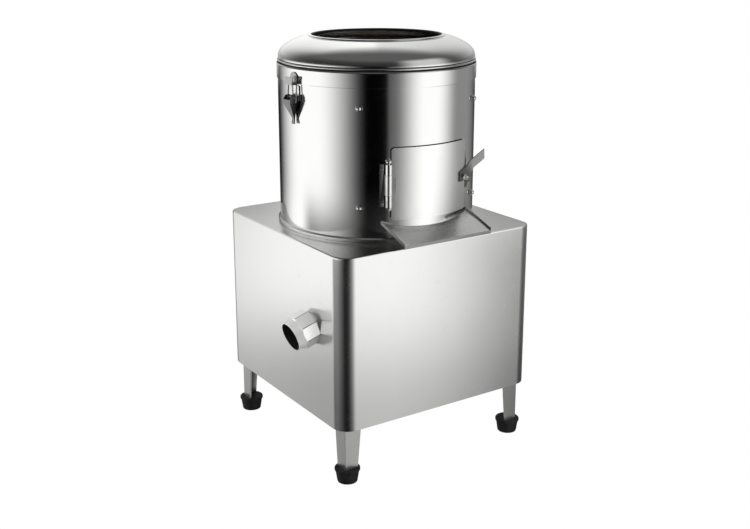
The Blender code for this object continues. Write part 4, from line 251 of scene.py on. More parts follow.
def plastic(name, colour, roughness):
    """Moulded plastic with a pebbled skin."""
    surface = Surface(name)
    grain = surface.cells(size=0.0009)
    haze = surface.noise(size=0.03)
    tone = surface.tint(colour, haze * 0.16 + 0.92)
    rough = haze * 0.12 + (roughness - 0.06)
    return surface.finish(tone, rough, Normal=surface.bump(grain, distance=0.00008, strength=0.5))


def casting(name, colour):
    """Sand-cast iron."""
    surface = Surface(name)
    sand = surface.noise(size=0.0016, detail=4.0)
    patch = surface.noise(size=0.03)
    tone = surface.tint(colour, patch * 0.35 + sand * 0.25 + 0.70)
    normal = surface.bump(sand, distance=0.0006, strength=0.6)
    return surface.finish(tone, sand * 0.2 + 0.45, metallic=0.6, Normal=normal)


def paint(name, colour):
    """Satin paint with a slight orange peel."""
    surface = Surface(name)
    peel = surface.noise(size=0.003, detail=2.0)
    patch = surface.noise(size=0.05)
    tone = surface.tint(colour, patch * 0.2 + 0.9)
    normal = surface.bump(peel, distance=0.0003, strength=0.35)
    return surface.finish(tone, patch * 0.15 + 0.32, Normal=normal, Coat_Weight=0.25)


def grit(name, dark, pale, crest=None):
    """Bonded abrasive, paler where potatoes wear it between two heights of the crest."""
    surface = Surface(name)
    grains = surface.cells(size=0.0017)
    chips = surface.cells(size=0.0011, output="Color")
    patch = surface.noise(size=0.02, detail=4.0)
    tone = surface.blend(grains.between(0.1, 0.75), pale, dark)
    tone = surface.tint(tone, patch * 0.5 + 0.75)
    tone = surface.tint(tone, chips)
    tone = surface.blend(0.55, tone, dark)
    if crest:
        level = surface.add("SeparateXYZ", "Z", {}, surface.place())
        tone = surface.blend(level.between(*crest) * 0.6, tone, pale)
    height = surface.noise(size=0.0007, detail=2.0) * 0.5 - grains
    normal = surface.bump(height, distance=0.0012, strength=0.9)
    return surface.finish(tone, patch * 0.2 + 0.72, Normal=normal)


def zinc(name):
    """Zinc plate with its spangle."""
    surface = Surface(name)
    flake = surface.cells(size=0.012, output="Color")
    level = surface.add("RGBToBW", "Val", {}, flake)
    cloud = surface.noise(size=0.04, detail=4.0)
    tone = surface.tint((0.62, 0.63, 0.65), level * 0.22 + cloud * 0.1 + 0.78)
    normal = surface.bump(cloud, distance=0.0004, strength=0.3)
    return surface.finish(tone, level * 0.15 + 0.30, metallic=0.9, Normal=normal)


# each steel: its colour, roughness, the way of its grinding lines and their depth in micrometres
FINISH = {
    "barrel": steel("rolled_mirror_steel", (0.80, 0.80, 0.79), 0.12, along("XY", 0.02), 12),
    "polished_steel": steel("polished_steel", (0.80, 0.80, 0.79), 0.13, along("Z", 0.05), 10),
    "satin_steel": steel("satin_steel", (0.78, 0.78, 0.77), 0.24, along("Z"), 16),
    "dome": steel("spun_satin_steel", (0.82, 0.82, 0.81), 0.15, along("XY"), 14),
    "door": steel("brushed_door_steel", (0.93, 0.93, 0.92), 0.31, along("Z"), 18),
    "leg": steel("brushed_leg_steel", (0.62, 0.62, 0.61), 0.32, along("Z"), 18),
    "union": steel("turned_union_steel", (0.88, 0.88, 0.86), 0.30, along("Y"), 18, metallic=0.62),
    # painted highlight: a paler, less metallic copy of the union steel for the nozzle's lit front flat
    "union_painted_highlight": steel("painted_highlight_turned_steel", (0.97, 0.97, 0.96), 0.30, along("Y"), 18, metallic=0.30),
    "dark_steel": steel("dark_latch_steel", (0.20, 0.20, 0.20), 0.26, along("Z"), 16),
    "lever": steel("pressed_lever_steel", (0.27, 0.27, 0.26), 0.30, along("Z"), 20),
    "chute": steel("brushed_chute_steel", (0.66, 0.66, 0.65), 0.27, along("X"), 18),
    "bracket": steel("dull_bracket_steel", (0.42, 0.42, 0.41), 0.28, along("Z"), 16),
    # painted shade: a near-black casting put on the dome's mouth wall and groove and on the nozzle's bore
    "mouth_shade": casting("painted_shade", (0.010, 0.010, 0.010)),
    "plated_steel": zinc("zinc_plated_steel"),
    "cast_grey": casting("sand_cast_iron", (0.20, 0.21, 0.22)),
    "motor_paint": paint("motor_paint", (0.10, 0.14, 0.18)),
    # the liner's near-black grit is partly its own dark colour and partly painted shade of the machine's
    # inside
    "grit_liner": grit("liner_abrasive", (0.020, 0.018, 0.017), (0.10, 0.09, 0.075)),
    "grit_disc": grit("disc_abrasive", (0.10, 0.088, 0.075), (0.42, 0.36, 0.29), crest=(0.5130, 0.5215)),
    "black_rubber": rubber("black_rubber", (0.0045, 0.0045, 0.0050)),
    "black_plastic": plastic("black_plastic", (0.020, 0.020, 0.022), 0.40),
    "grey_plastic": plastic("grey_plastic", (0.36, 0.37, 0.38), 0.42),
    "green_plastic": plastic("green_plastic", (0.02, 0.36, 0.09), 0.28),
    "red_plastic": plastic("red_plastic", (0.60, 0.02, 0.015), 0.26),
}


# ---- shapes
def new_object(name, data):
    item = bpy.data.objects.new(name, data)
    bpy.context.scene.collection.objects.link(item)
    return item


def baked(item):
    """Plain mesh of an object with its modifiers applied. The object itself goes."""
    bpy.context.view_layer.update()
    mesh = bpy.data.meshes.new_from_object(item.evaluated_get(bpy.context.evaluated_depsgraph_get()))
    bpy.data.objects.remove(item)
    return mesh


def tidy(mesh, weld=1e-6, flat=0.0):
    """The mesh welded, facing outwards and without slivers, or joined across edges flatter than this."""
    bm = bmesh.new()
    bm.from_mesh(mesh)
    bmesh.ops.remove_doubles(bm, verts=bm.verts, dist=weld)
    if flat:
        bmesh.ops.dissolve_limit(bm, angle_limit=math.radians(flat), verts=bm.verts, edges=bm.edges)
    else:
        bmesh.ops.dissolve_degenerate(bm, dist=weld, edges=bm.edges)
    bmesh.ops.recalc_face_normals(bm, faces=bm.faces)
    bm.to_mesh(mesh)
    bm.free()
    return mesh


def mesh_of(name, verts, faces):
    mesh = bpy.data.meshes.new(name)
    mesh.from_pydata([tuple(v) for v in verts], [], faces)
    return tidy(mesh)


RING_SIDES = 256


def lathe(name, profile, segments, matrix=ON_AXIS, closed=True):
    """Solid of revolution about Z from (radius, height) points, then moved by matrix."""
    count = len(profile)
    verts, faces = [], []
    for step in range(segments):
        turn = 2 * math.pi * step / segments
        verts += [(r * math.sin(turn), -r * math.cos(turn), z) for r, z in profile]
    pairs = range(count if closed else count - 1)
    for step in range(segments):
        here, there = step * count, (step + 1) % segments * count
        for index in pairs:
            after = (index + 1) % count
            faces.append((here + index, here + after, there + after, there + index))
    mesh = mesh_of(name, verts, faces)
    mesh.transform(matrix)
    return mesh


def spun(name, profile, segments, matrix=ON_AXIS):
    """Solid of revolution whose profile starts and ends on its own axis."""
    return lathe(name, profile, segments, matrix, closed=False)


def prism(name, outline, low, high, matrix=HERE):
    """Solid between two heights over an outline of (x, y) points."""
    count = len(outline)
    verts = [(x, y, low) for x, y in outline] + [(x, y, high) for x, y in outline]
    faces = [tuple(range(count))[::-1], tuple(range(count, count * 2))]
    faces += [(i, (i + 1) % count, (i + 1) % count + count, i + count) for i in range(count)]
    mesh = mesh_of(name, verts, faces)
    mesh.transform(matrix)
    return mesh


def oblong(left, front, right, back):
    """Outline of a rectangle."""
    return [(left, front), (right, front), (right, back), (left, back)]


def arc(centre, radius, start, end, steps):
    """Points on an arc, in degrees counted from the first axis."""
    angles = [math.radians(start + (end - start) * i / steps) for i in range(steps + 1)]
    return [(centre[0] + radius * math.cos(a), centre[1] + radius * math.sin(a)) for a in angles]


def dome(foot, radius, rise, degrees):
    """Profile of a dome, at these degrees from its top."""
    angles = [math.radians(a) for a in degrees]
    return [(radius * math.sin(a), foot + rise * math.cos(a)) for a in angles]


def rounded(points, radius, steps):
    """Outline with every corner rounded."""
    result = []
    for index, point in enumerate(points):
        here = Vector(point)
        back = Vector(points[index - 1]) - here
        ahead = Vector(points[(index + 1) % len(points)]) - here
        angle = back.angle(ahead)
        reach = min(radius / math.tan(angle / 2), back.length * 0.49, ahead.length * 0.49)
        start, end = here + back.normalized() * reach, here + ahead.normalized() * reach
        for step in range(steps + 1):
            t = step / steps
            result.append(tuple(start * (1 - t) ** 2 + here * 2 * t * (1 - t) + end * t**2))
    return result


def polygon(apothem, sides, turn=0.5):
    """Outline of a regular polygon, turned by this share of a side."""
    radius = apothem / math.cos(math.pi / sides)
    angles = [2 * math.pi * (i + turn) / sides for i in range(sides)]
    return [(radius * math.cos(a), radius * math.sin(a)) for a in angles]


def station(degrees, radius=0.0, height=0.0):
    """Frame on the barrel at this station: X along the wall, Y inwards, Z up."""
    return ON_AXIS @ Matrix.Rotation(math.radians(degrees), 4, "Z") @ Matrix.Translation((0, -radius, height))


def outward(degrees, radius, height):
    """Frame whose Z points straight out of the barrel at this station."""
    return station(degrees, radius, height) @ Matrix.Rotation(math.pi / 2, 4, "X")


HINGE = station(HINGE_STATION, BARREL_RADIUS + HINGE_REACH)


def joined(name, meshes):
    """One mesh of several closed shells."""
    bm = bmesh.new()
    for mesh in meshes:
        bm.from_mesh(mesh)
    result = bpy.data.meshes.new(name)
    bm.to_mesh(result)
    bm.free()
    return result


def thickened(mesh):
    """Sheet of the machine's thickness behind an open surface."""
    item = new_object("blank", mesh)
    step = item.modifiers.new("sheet", "SOLIDIFY")
    step.thickness, step.offset, step.use_even_offset = SHEET, -1, True
    return baked(item)


def carved(mesh, cutter, operation="DIFFERENCE"):
    """Mesh after one exact Boolean with another mesh."""
    item, tool = new_object("blank", mesh), new_object("tool", cutter)
    step = item.modifiers.new("cut", "BOOLEAN")
    step.object, step.operation, step.solver = tool, operation, "EXACT"
    result = baked(item)
    bpy.data.objects.remove(tool)
    return tidy(result)


def worked(mesh, bevel=0.0, segments=2, limit=32, sharp=38):
    """Mesh with its outward edges slightly rounded, and smooth but for its real edges."""
    item = new_object("blank", mesh)
    if bevel:
        bm = bmesh.new()
        bm.from_mesh(mesh)
        weight = bm.edges.layers.float.new("bevel_weight_edge")
        for edge in bm.edges:
            if edge.is_manifold and edge.calc_face_angle_signed(0.0) > math.radians(limit):
                edge[weight] = 1.0
        bm.to_mesh(mesh)
        bm.free()
        step = item.modifiers.new("edges", "BEVEL")
        step.width, step.segments, step.limit_method = bevel, segments, "WEIGHT"
        step.use_clamp_overlap, step.harden_normals = True, False
    result = baked(item)
    for face in result.polygons:
        face.use_smooth = True
    result.set_sharp_from_angle(angle=math.radians(sharp))
    item = new_object("blank", result)
    step = item.modifiers.new("weight", "WEIGHTED_NORMAL")
    step.keep_sharp, step.weight, step.mode = True, 80, "FACE_AREA_WITH_ANGLE"
    return baked(item)


def extra(name, mesh, finish, body="root"):
    """A piece of its own, on a body and with a finish."""
    mesh.materials.clear()
    mesh.materials.append(FINISH[finish])
    piece = new_object(name, mesh)
    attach(piece, body)
    return piece


def dress(node, mesh, finish=None):
    """Put a mesh in the place of a CAD node, on its body and with its finish."""
    piece = extra(node + "_skin", mesh, finish or SLOT_OF[node], BODY_OF[node])
    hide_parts(node)
    DRESSED.add(node)
    return piece


def shade_where(piece, chosen, finish="mouth_shade"):
    """A second finish on the chosen faces, such as the shadow in a groove."""
    piece.data.materials.append(FINISH[finish])
    for face in piece.data.polygons:
        if chosen(face):
            face.material_index = len(piece.data.materials) - 1


def copy_of(node):
    """The CAD node's shape as a clean mesh with whole flat faces."""
    return tidy(NODES[node].data.copy(), weld=2e-6, flat=0.6)


# ---- barrel, foot ring and lid
def make_barrel():
    """Rolled sheet with the doorway cut out of it, dense round the barrel for true reflections."""
    door_columns, other_columns = 40, 216
    low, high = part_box("discharge_door")
    left = math.asin((low.x - AXIS.x + DOORWAY_MARGIN) / BARREL_RADIUS)
    right = math.asin((high.x - AXIS.x - DOORWAY_MARGIN) / BARREL_RADIUS)
    angles = [left + (right - left) * i / door_columns for i in range(door_columns)]
    angles += [right + (2 * math.pi - (right - left)) * i / other_columns for i in range(other_columns)]
    count = len(angles)
    ring = [(AXIS.x + BARREL_RADIUS * math.sin(a), AXIS.y - BARREL_RADIUS * math.cos(a)) for a in angles]
    heights = (BARREL_FOOT, DOORWAY_FOOT, DOORWAY_TOP, BARREL_TOP)
    verts, faces = [(x, y, height) for height in heights for x, y in ring], []
    for row in range(3):
        for column in range(count):
            if row == 1 and column < door_columns:
                continue
            here, after = row * count + column, row * count + (column + 1) % count
            faces.append((here, after, after + count, here + count))
    mesh = mesh_of("barrel", verts, faces)
    if sum(face.normal.xy.dot((face.center - AXIS).xy) for face in mesh.polygons) < 0:
        mesh.flip_normals()
    dress("barrel", worked(thickened(mesh), bevel=0.0004), "barrel")


def make_foot_ring():
    """Raised ring where the barrel meets the cabinet."""
    foot, inner, outer, roll = BARREL_FOOT, BARREL_RADIUS + SEAT_GAP, BARREL_RADIUS + 0.0045, 0.0020
    profile = [(inner, foot), (outer, foot), (outer, foot + 0.0035)]
    profile += arc((outer - roll, foot + 0.0045), roll, 0, 60, 5)
    profile += [(inner + 0.0012, foot + 0.0075), (inner, foot + 0.008)]
    dress("barrel_foot_ring", worked(lathe("foot_ring", profile, RING_SIDES)), "satin_steel")


def make_gasket():
    """Rubber ring on the barrel's rim, with a bulging edge."""
    foot, top, bulge = BARREL_TOP + SEAT_GAP, BARREL_TOP + SEAT_GAP + 0.005, 0.0025
    outer = BARREL_RADIUS - 0.0004
    profile = [(LID_INNER_RADIUS, foot), (outer, foot)]
    profile += arc((BARREL_RADIUS - bulge, foot + bulge), bulge, -60, 60, 8)
    profile += [(outer, top), (LID_INNER_RADIUS, top)]
    dress("lid_gasket", worked(lathe("gasket", profile, 200)))


def make_lid_band():
    """Rolled band of the lid with its rounded shoulder and a turned lower edge."""
    top, foot, roll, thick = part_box("lid_band")[1].z, 0.781, 0.0042, 0.0016
    outer, under = LID_BAND_RADIUS, top - SHEET
    profile = arc((outer - roll, top - roll), roll, 90, 0, 10)
    profile += [(outer, foot + 0.0012), (outer - 0.0003, foot + 0.0004), (outer - 0.0010, foot)]
    profile += [(outer - thick, foot + 0.0006), (outer - thick, under)]
    profile += [(LID_INNER_RADIUS, under), (LID_INNER_RADIUS, top)]
    dress("lid_band", worked(lathe("band", profile, RING_SIDES)), "barrel")


def dome_line(steps):
    """The dome's outer line, from its mouth down to its shoulder."""
    low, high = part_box("lid_dome")
    mouth, shoulder, foot, top = 0.1396, 0.2058, low.z + 0.0055, high.z
    line = []
    for step in range(steps + 1):
        share = 1 - (step / steps) ** 1.7
        line.append((mouth + (shoulder - mouth) * (1 - share**2.67), foot + (top - foot) * share))
    return line


def inset(line, distance):
    """The line moved inwards by a distance."""
    result = []
    for index, point in enumerate(line):
        before, after = line[max(0, index - 1)], line[min(len(line) - 1, index + 1)]
        run = (Vector(after) - Vector(before)).normalized()
        result.append((point[0] + run.y * distance, point[1] - run.x * distance))
    return result


def make_dome():
    """Spun dome with a rolled mouth above, a groove and a bead below, and the rubber lip under its bead."""
    foot, mouth_foot, mouth_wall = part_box("lid_dome")[0].z, 0.8630, 0.1373
    outline = [(0.1340, mouth_foot)] + arc((0.1365, 0.8655), 0.0025, 180, 90, 8)
    outline += arc((0.1396, 0.8660), 0.0020, 90, -10, 8)
    outline += [(0.1420, 0.8650), (0.1428, 0.8645), (0.1440, 0.8643), (0.1470, 0.8644)]
    outline += [(r, z) for r, z in dome_line(64) if r > 0.1510 and z > foot + 0.0067]
    groove = [(0.2056, 0.0064), (0.2050, 0.0060), (0.2042, 0.0058), (0.2037, 0.0055)]
    outline += [(r, foot + z) for r, z in groove] + arc((0.2050, foot + 0.0031), 0.0024, 100, -75, 12)
    outline += [(0.2050, foot), (0.2022, foot), (0.2022, 0.8178)]
    inner = [(r, z) for r, z in inset(dome_line(24), SHEET) if z > 0.8195 and r > 0.1400]
    outline += inner[::-1] + [(0.1366, mouth_foot)]
    piece = dress("lid_dome", worked(lathe("dome", outline, RING_SIDES), sharp=50), "dome")

    def in_groove(face):
        return foot + 0.0050 < face.center.z < foot + 0.0066 and abs(face.normal.z) < 0.99

    def in_mouth(face):
        return (face.center - AXIS).xy.length < mouth_wall

    # painted shade: the groove above the bead and the inner wall of the mouth take the near-black finish
    shade_where(piece, lambda face: in_groove(face) or in_mouth(face))
    band_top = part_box("lid_band")[1].z
    lip = [(0.2046, band_top - 0.0030), (0.2072, band_top - 0.0030)]
    lip += arc((0.2066, band_top - 0.0010), 0.0012, -60, 60, 6) + [(0.2046, band_top + 0.0009)]
    extra("gasket_lip", worked(lathe("gasket_lip", lip, RING_SIDES)), "black_rubber")


# ---- liner with its dome nuts
def dome_nut(degrees, height):
    """Domed nut on a washer, as seen outside the barrel."""
    place, plate, radius = outward(degrees, BARREL_RADIUS + 0.0002, height), 0.0012, 0.0049
    washer = [(0, 0), (0.0072, 0), (0.0072, 0.0008), (0.0068, plate), (0, plate)]
    hexagon = prism("nut", rounded(polygon(0.0050, 6), 0.0006, 3), plate, 0.0042, place)
    crown = [(0, 0.0085)] + dome(0.0036, radius, radius, range(10, 91, 8))
    cap = spun("cap", crown + [(radius, plate), (0, plate)], 40, place)
    return [spun("washer", washer, 40, place), worked(hexagon, bevel=0.0003), cap]


def make_liner():
    """Coated shell with its doorway, and the dome nuts of its studs outside the barrel."""
    outer, inner, top = 0.2042, 0.1992, 0.772
    foot = max(0.4995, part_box("abrasive_liner")[0].z)
    profile = [(outer, foot), (outer, top), (outer - 0.0035, top), (inner, top - 0.0015), (inner, foot)]
    shell = lathe("liner", profile, 144)
    low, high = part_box("discharge_door")
    margin, gap, front, back = DOORWAY_MARGIN + 0.0015, 0.0005, AXIS.y - 0.26, AXIS.y - 0.12
    outline = oblong(low.x + margin, front, high.x - margin, back)
    shell = carved(shell, prism("cut_doorway", outline, DOORWAY_FOOT + gap, DOORWAY_TOP - gap))
    dress("abrasive_liner", worked(shell, 0.0004, segments=1))
    nuts = []
    for degrees in STUD_STATIONS:
        for height in STUD_HEIGHTS:
            nuts += dome_nut(degrees, height)
    extra("liner_dome_nuts", worked(joined("nuts", nuts), sharp=35), "polished_steel")


# ---- door
def bent(across, height, radius):
    """Point on a cylinder about the machine's axis, this far to the right of its front."""
    return AXIS.x + across, AXIS.y - math.sqrt(radius**2 - across**2), height


def make_door():
    """Door plate bent to the barrel, with rounded corners, as columns from its left to its right edge."""
    low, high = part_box("discharge_door")
    foot, top, corner = low.z, high.z, 0.006
    left, right = low.x - AXIS.x, high.x - AXIS.x
    ease = [corner * (1 - math.cos(math.pi / 2 * step / 8)) for step in range(9)]
    columns = [left + reach for reach in ease]
    columns += [left + corner + (right - left - corner * 2) * i / 56 for i in range(1, 56)]
    columns += [right - reach for reach in reversed(ease)]
    rows = 6
    verts, faces = [], []
    for across in columns:
        edge = min(across - left, right - across)
        trim = 0.0 if edge >= corner else corner - math.sqrt(max(0.0, corner**2 - (corner - edge) ** 2))
        run = (top - foot - 2 * trim) / rows
        verts += [bent(across, foot + trim + run * row, DOOR_RADIUS) for row in range(rows + 1)]
    for column in range(len(columns) - 1):
        for row in range(rows):
            here = column * (rows + 1) + row
            there = here + rows + 1
            faces.append((here, there, there + 1, here + 1))
    mesh = bpy.data.meshes.new("door")
    mesh.from_pydata(verts, [], faces)
    if mesh.polygons[len(mesh.polygons) // 2].normal.y > 0:
        mesh.flip_normals()
    dress("discharge_door", worked(thickened(mesh), bevel=0.0005), "door")
    # painted shadow of the door's gap, as a black strip along its top and hinge side
    make_painted_door_shadow(left, right, foot, top, corner)


def make_painted_door_shadow(left, right, foot, top, corner):
    """Thin black strip of rubber finish round the top and the hinge side of the door: painted shadow of the
    gap between door and barrel.
    """
    edge, width, inner, outer, steps = 0.0001, 0.0014, 0.2069, 0.2086, 40
    route = [(left - edge, foot + corner)] + arc((left + corner, top - corner), corner + edge, 180, 90, 6)
    length = right - left - corner * 3
    route += [(left + corner + length * i / steps, top + edge) for i in range(1, steps + 1)]
    path = [Vector(point) for point in route]
    verts, faces = [], []
    for index, spot in enumerate(path):
        run = (path[min(index + 1, len(path) - 1)] - path[max(index - 1, 0)]).normalized()
        away = Vector((-run.y, run.x))
        for reach, radius in ((0, inner), (width, inner), (width, outer), (0, outer)):
            verts.append(bent(*(spot + away * reach), radius))
    for index in range(len(path) - 1):
        for side in range(4):
            here, there = index * 4 + side, index * 4 + (side + 1) % 4
            faces.append((here, there, there + 4, here + 4))
    last = (len(path) - 1) * 4
    faces += [(3, 2, 1, 0), (last, last + 1, last + 2, last + 3)]
    shadow_band = worked(mesh_of("shadow_band", verts, faces))
    extra("door_edging", shadow_band, "black_rubber", BODY_OF["discharge_door"])


# ---- feet
def make_feet():
    """Rubber feet that widen upwards to a rounded collar."""
    profile = [(0, 0), (0.0190, 0), (0.0201, 0.0004), (0.0206, 0.0015), (0.0240, 0.0225), (0.0245, 0.0240)]
    profile += [(0.0257, 0.0246), (0.0260, 0.0255), (0.0260, 0.0288), (0.0254, 0.0297), (0.0240, 0.0300)]
    profile += [(0, 0.0300)]
    for corner in CORNERS:
        node = "foot_" + corner
        spot = middle_of(node)
        dress(node, worked(spun(node, profile, 72, Matrix.Translation((spot.x, spot.y, 0))), sharp=40))


# ---- nozzle
def in_bore(face, start, way, radius):
    """Whether a face looks at the axis of a bore."""
    offset = face.center - start
    aside = offset - way * offset.dot(way)
    return aside.length < radius and face.normal.dot(aside) < 0


def make_nozzle():
    """Turned union with eight flats: chamfered shoulder, cone and rolled mouth, let into the left wall."""
    dip, ahead, height, room, bore = math.radians(18.0), 0.126, 0.313, 0.08, 0.0290
    out = Vector((-math.cos(dip), 0, -math.sin(dip)))
    wall = Vector((AXIS.x - CABINET_HALF, AXIS.y - ahead, height))
    aim = Matrix.Translation(wall) @ Vector((0, 0, 1)).rotation_difference(out).to_matrix().to_4x4()
    profile = [(0.0282, 0.0490), (0.0286, 0.0497), (0.0293, 0.0500), (0.0300, 0.0497), (0.0303, 0.0489)]
    profile += [(0.0338, 0.0353), (0.0344, 0.0343), (0.0365, 0.0326), (0.0365, 0.001), (0.0248, 0.001)]
    profile += [(0.0248, 0.0298), (0.0225, 0.0298)]
    half_side, ten_degrees = 0.5, 8 * 10 / 360
    flats = polygon(0.0340, 8, half_side + ten_degrees)
    mesh = lathe("nozzle", profile, 144, HERE)
    mesh = carved(mesh, prism("flats", flats, -0.02, 0.09), "INTERSECT")
    mesh.transform(aim)
    face_x = wall.x - SEAT_GAP
    outline = oblong(face_x, wall.y - room, face_x + room, wall.y + room)
    mesh = carved(mesh, prism("wall_side", outline, height - room, height + room))
    piece = dress("drain_nozzle", worked(mesh, 0.0007, limit=12, sharp=30), "union")

    def on_front_flat(face):
        return face.normal.y < -0.93 and face.area > 0.0001

    def on_flat_edge(face):
        return 3e-6 < face.area < 4e-5 and abs(face.normal.dot(out)) < 0.05

    # painted highlight on the nozzle's front flat
    shade_where(piece, on_front_flat, "union_painted_highlight")
    # painted shade: dark lines on the narrow faces between the nozzle's flats
    shade_where(piece, on_flat_edge, "dark_steel")
    # painted shade inside the nozzle's bore
    shade_where(piece, lambda face: in_bore(face, wall, out, bore))


# ---- hinge pin, buttons and lever bolt
def make_hinge_pin():
    """Pin with a ball head above and a pointed end below."""
    shank, seat, ball, foot = 0.0030, 0.6343, 0.0052, 0.5487
    profile = [(0, seat + ball * 2)] + dome(seat + ball, ball, ball, range(12, 150, 12))
    profile += [(shank, seat), (shank, foot), (0.0058, foot), (0.0062, 0.5480), (0.0055, 0.5455)]
    profile += [(0.0038, 0.5420), (0.0018, 0.5409), (0, 0.5407)]
    dress("hinge_pin", worked(spun("pin", profile, 48, HINGE), sharp=40))


def make_buttons():
    """Start button with a dished face and stop button with a mushroom head, both turned to the right."""
    for node in ("start_button", "stop_button"):
        low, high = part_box(node)
        spot = middle_of(node)
        root, top = low.x, high.x
        if node == "start_button":
            profile = [(0, top - 0.0008), (0.006, top - 0.0006), (0.0085, top), (0.0096, top - 0.0002)]
            profile += [(0.0106, top - 0.0008), (0.0115, top - 0.0022), (0.0115, root), (0, root)]
        else:
            head, wide, stem = top - 0.0075, 0.0175, 0.0095
            profile = [(0, top)] + dome(head + 0.0015, wide, 0.0060, range(8, 91, 7))
            profile += [(wide, head + 0.0008), (0.0168, head), (stem, head), (stem, root), (0, root)]
        aim = Matrix.Translation((0, spot.y, spot.z)) @ Matrix.Rotation(math.pi / 2, 4, "Y")
        dress(node, worked(spun(node, profile, 64, aim), sharp=42))


def make_lever_bolt():
    """Threaded shank and the chamfered hexagon nut that holds the lever on the door."""
    washer, lever, radius, pitch, threads = 0.0004, 0.0025, 0.0030, 0.0008, 6
    foot, root = DOOR_RADIUS + washer + lever + SEAT_GAP, 0.2094
    place = outward(LEVER_STATION, 0, LEVER_HEIGHT)
    profile = [(0, foot + 0.0115), (0.0018, foot + 0.0114), (0.0027, foot + 0.0106)]
    for turn in range(threads):
        height = foot + 0.0102 - pitch * turn
        profile += [(radius, height), (radius, height - 0.0002), (0.0026, height - 0.0005)]
    profile += [(radius, foot + 0.0054), (radius, root), (0, root)]
    shaft = spun("shank", profile, 40, place)
    nut = prism("nut", polygon(0.0057, 6, 0.0), foot, foot + 0.0052)
    cone = [(0, foot + 0.0055), (0.0050, foot + 0.0055), (0.0070, foot + 0.0040), (0.0070, foot), (0, foot)]
    nut = carved(nut, spun("cone", cone, 48, HERE), "INTERSECT")
    nut.transform(place)
    dress("lever_bolt", worked(joined("bolt", [shaft, nut]), sharp=30), "polished_steel")


# ---- latch bails and bases
def wire(name, points, radius, matrix):
    """Round wire along a line of points."""
    curve = bpy.data.curves.new(name, "CURVE")
    curve.dimensions, curve.bevel_depth, curve.bevel_resolution, curve.use_fill_caps = "3D", radius, 5, True
    spline = curve.splines.new("POLY")
    spline.points.add(len(points) - 1)
    for point, spot in zip(spline.points, points):
        point.co = (*spot, 1)
    mesh = baked(new_object("blank", curve))
    mesh.transform(matrix)
    return tidy(mesh)


def make_bails():
    """Wire bails, from their eyes in the levers up to the troughs of the keepers."""
    lean, crank, eye, play = math.radians(8.0), 0.009, 0.0105, 0.0005
    thick, keeper, corner = 0.0015, 0.0016, 0.003
    pivot_out = BARREL_RADIUS + LATCH_PIVOT_REACH - crank * math.sin(lean)
    pivot_up = LATCH_PIVOT_HEIGHT - crank * math.cos(lean)
    out = LID_BAND_RADIUS + SEAT_GAP + keeper + SEAT_GAP + thick - pivot_out
    up = KEEPER_FOOT + keeper + SEAT_GAP + thick - pivot_up
    length = math.hypot(out, up)
    leg = eye + thick + play + thick
    half = [(eye, 0)] + arc((leg - thick, thick), thick, -90, 0, 5)
    half += arc((leg - corner, length - corner), corner, 0, 90, 6)
    outline = half + [(-x, y) for x, y in reversed(half)]
    points = [(x, -out * y / length, up * y / length) for x, y in outline]
    for side, degrees in LATCH_STATIONS.items():
        mesh = wire("bail", points, thick, station(degrees, pivot_out, pivot_up))
        dress("latch_bail_" + side, worked(mesh, sharp=60), "bracket")


def make_latch_bases():
    """The bases with ears a hair thinner, so that the swung lever's notch passes them."""
    ear, near, hair = 0.0100, 0.0001, 0.0003
    for side, degrees in LATCH_STATIONS.items():
        node = "latch_base_" + side
        mesh, place = copy_of(node), station(degrees)
        home = place.inverted()
        for vertex in mesh.vertices:
            spot = home @ vertex.co
            if abs(abs(spot.x) - ear) < near:
                spot.x -= math.copysign(hair, spot.x)
                vertex.co = place @ spot
        dress(node, worked(mesh, 0.0003, limit=40, sharp=36))


make_barrel()
make_foot_ring()
make_gasket()
make_lid_band()
make_dome()
make_liner()
make_door()
make_feet()
make_nozzle()
make_hinge_pin()
make_buttons()
make_lever_bolt()
make_bails()
make_latch_bases()

# ---- nodes dressed in their own CAD shape, by the start of their names
# finish, or None for that of their slot; width and steps of the edge bevel; least angle of a bevelled edge
OWN_SHAPES = {
    "cabinet_shell": (None, 0.0004, 2, 34),
    "discharge_chute": ("chute", 0.0004, 2, 25),
    "door_knuckle": ("door", 0.0003, 2, 40),
    "door_lever": ("lever", 0.0006, 2, 25),
    "drain_pipe": ("union", 0.0, 1, 40),
    "hinge_bracket": ("barrel", 0.0003, 2, 40),
    "latch_lever_": ("dark_steel", 0.0004, 2, 30),
    "leg_": ("leg", 0.0005, 2, 30),
    "lever_hook": ("bracket", 0.0003, 2, 30),
    "lid_keeper_": ("bracket", 0.0003, 2, 30),
    "motor_bracket": (None, 0.0005, 2, 40),
    "service_panel": (None, 0.0004, 2, 40),
    "switch_box": (None, 0.0016, 3, 40),
    "terminal_box": (None, 0.0012, 3, 40),
    "": (None, 0.0, 1, 40),
}


def on_chute_side(face):
    """The outer sides and the front edge of the chute, which the photograph shows darker; they get painted
    shade.
    """
    return abs(face.normal.x) > 0.6 or face.normal.y < -0.8


def make_other_skins():
    """Skins of all nodes that no shape above replaces."""
    for node in sorted(set(NODES) - DRESSED):
        finish, bevel, segments, limit = next(OWN_SHAPES[key] for key in OWN_SHAPES if node.startswith(key))
        piece = dress(node, worked(copy_of(node), bevel, segments, limit, 36), finish)
        if node == "discharge_chute":
            # painted shade: the darker lever steel on the chute's outer sides and front edge
            shade_where(piece, on_chute_side, "lever")


make_other_skins()


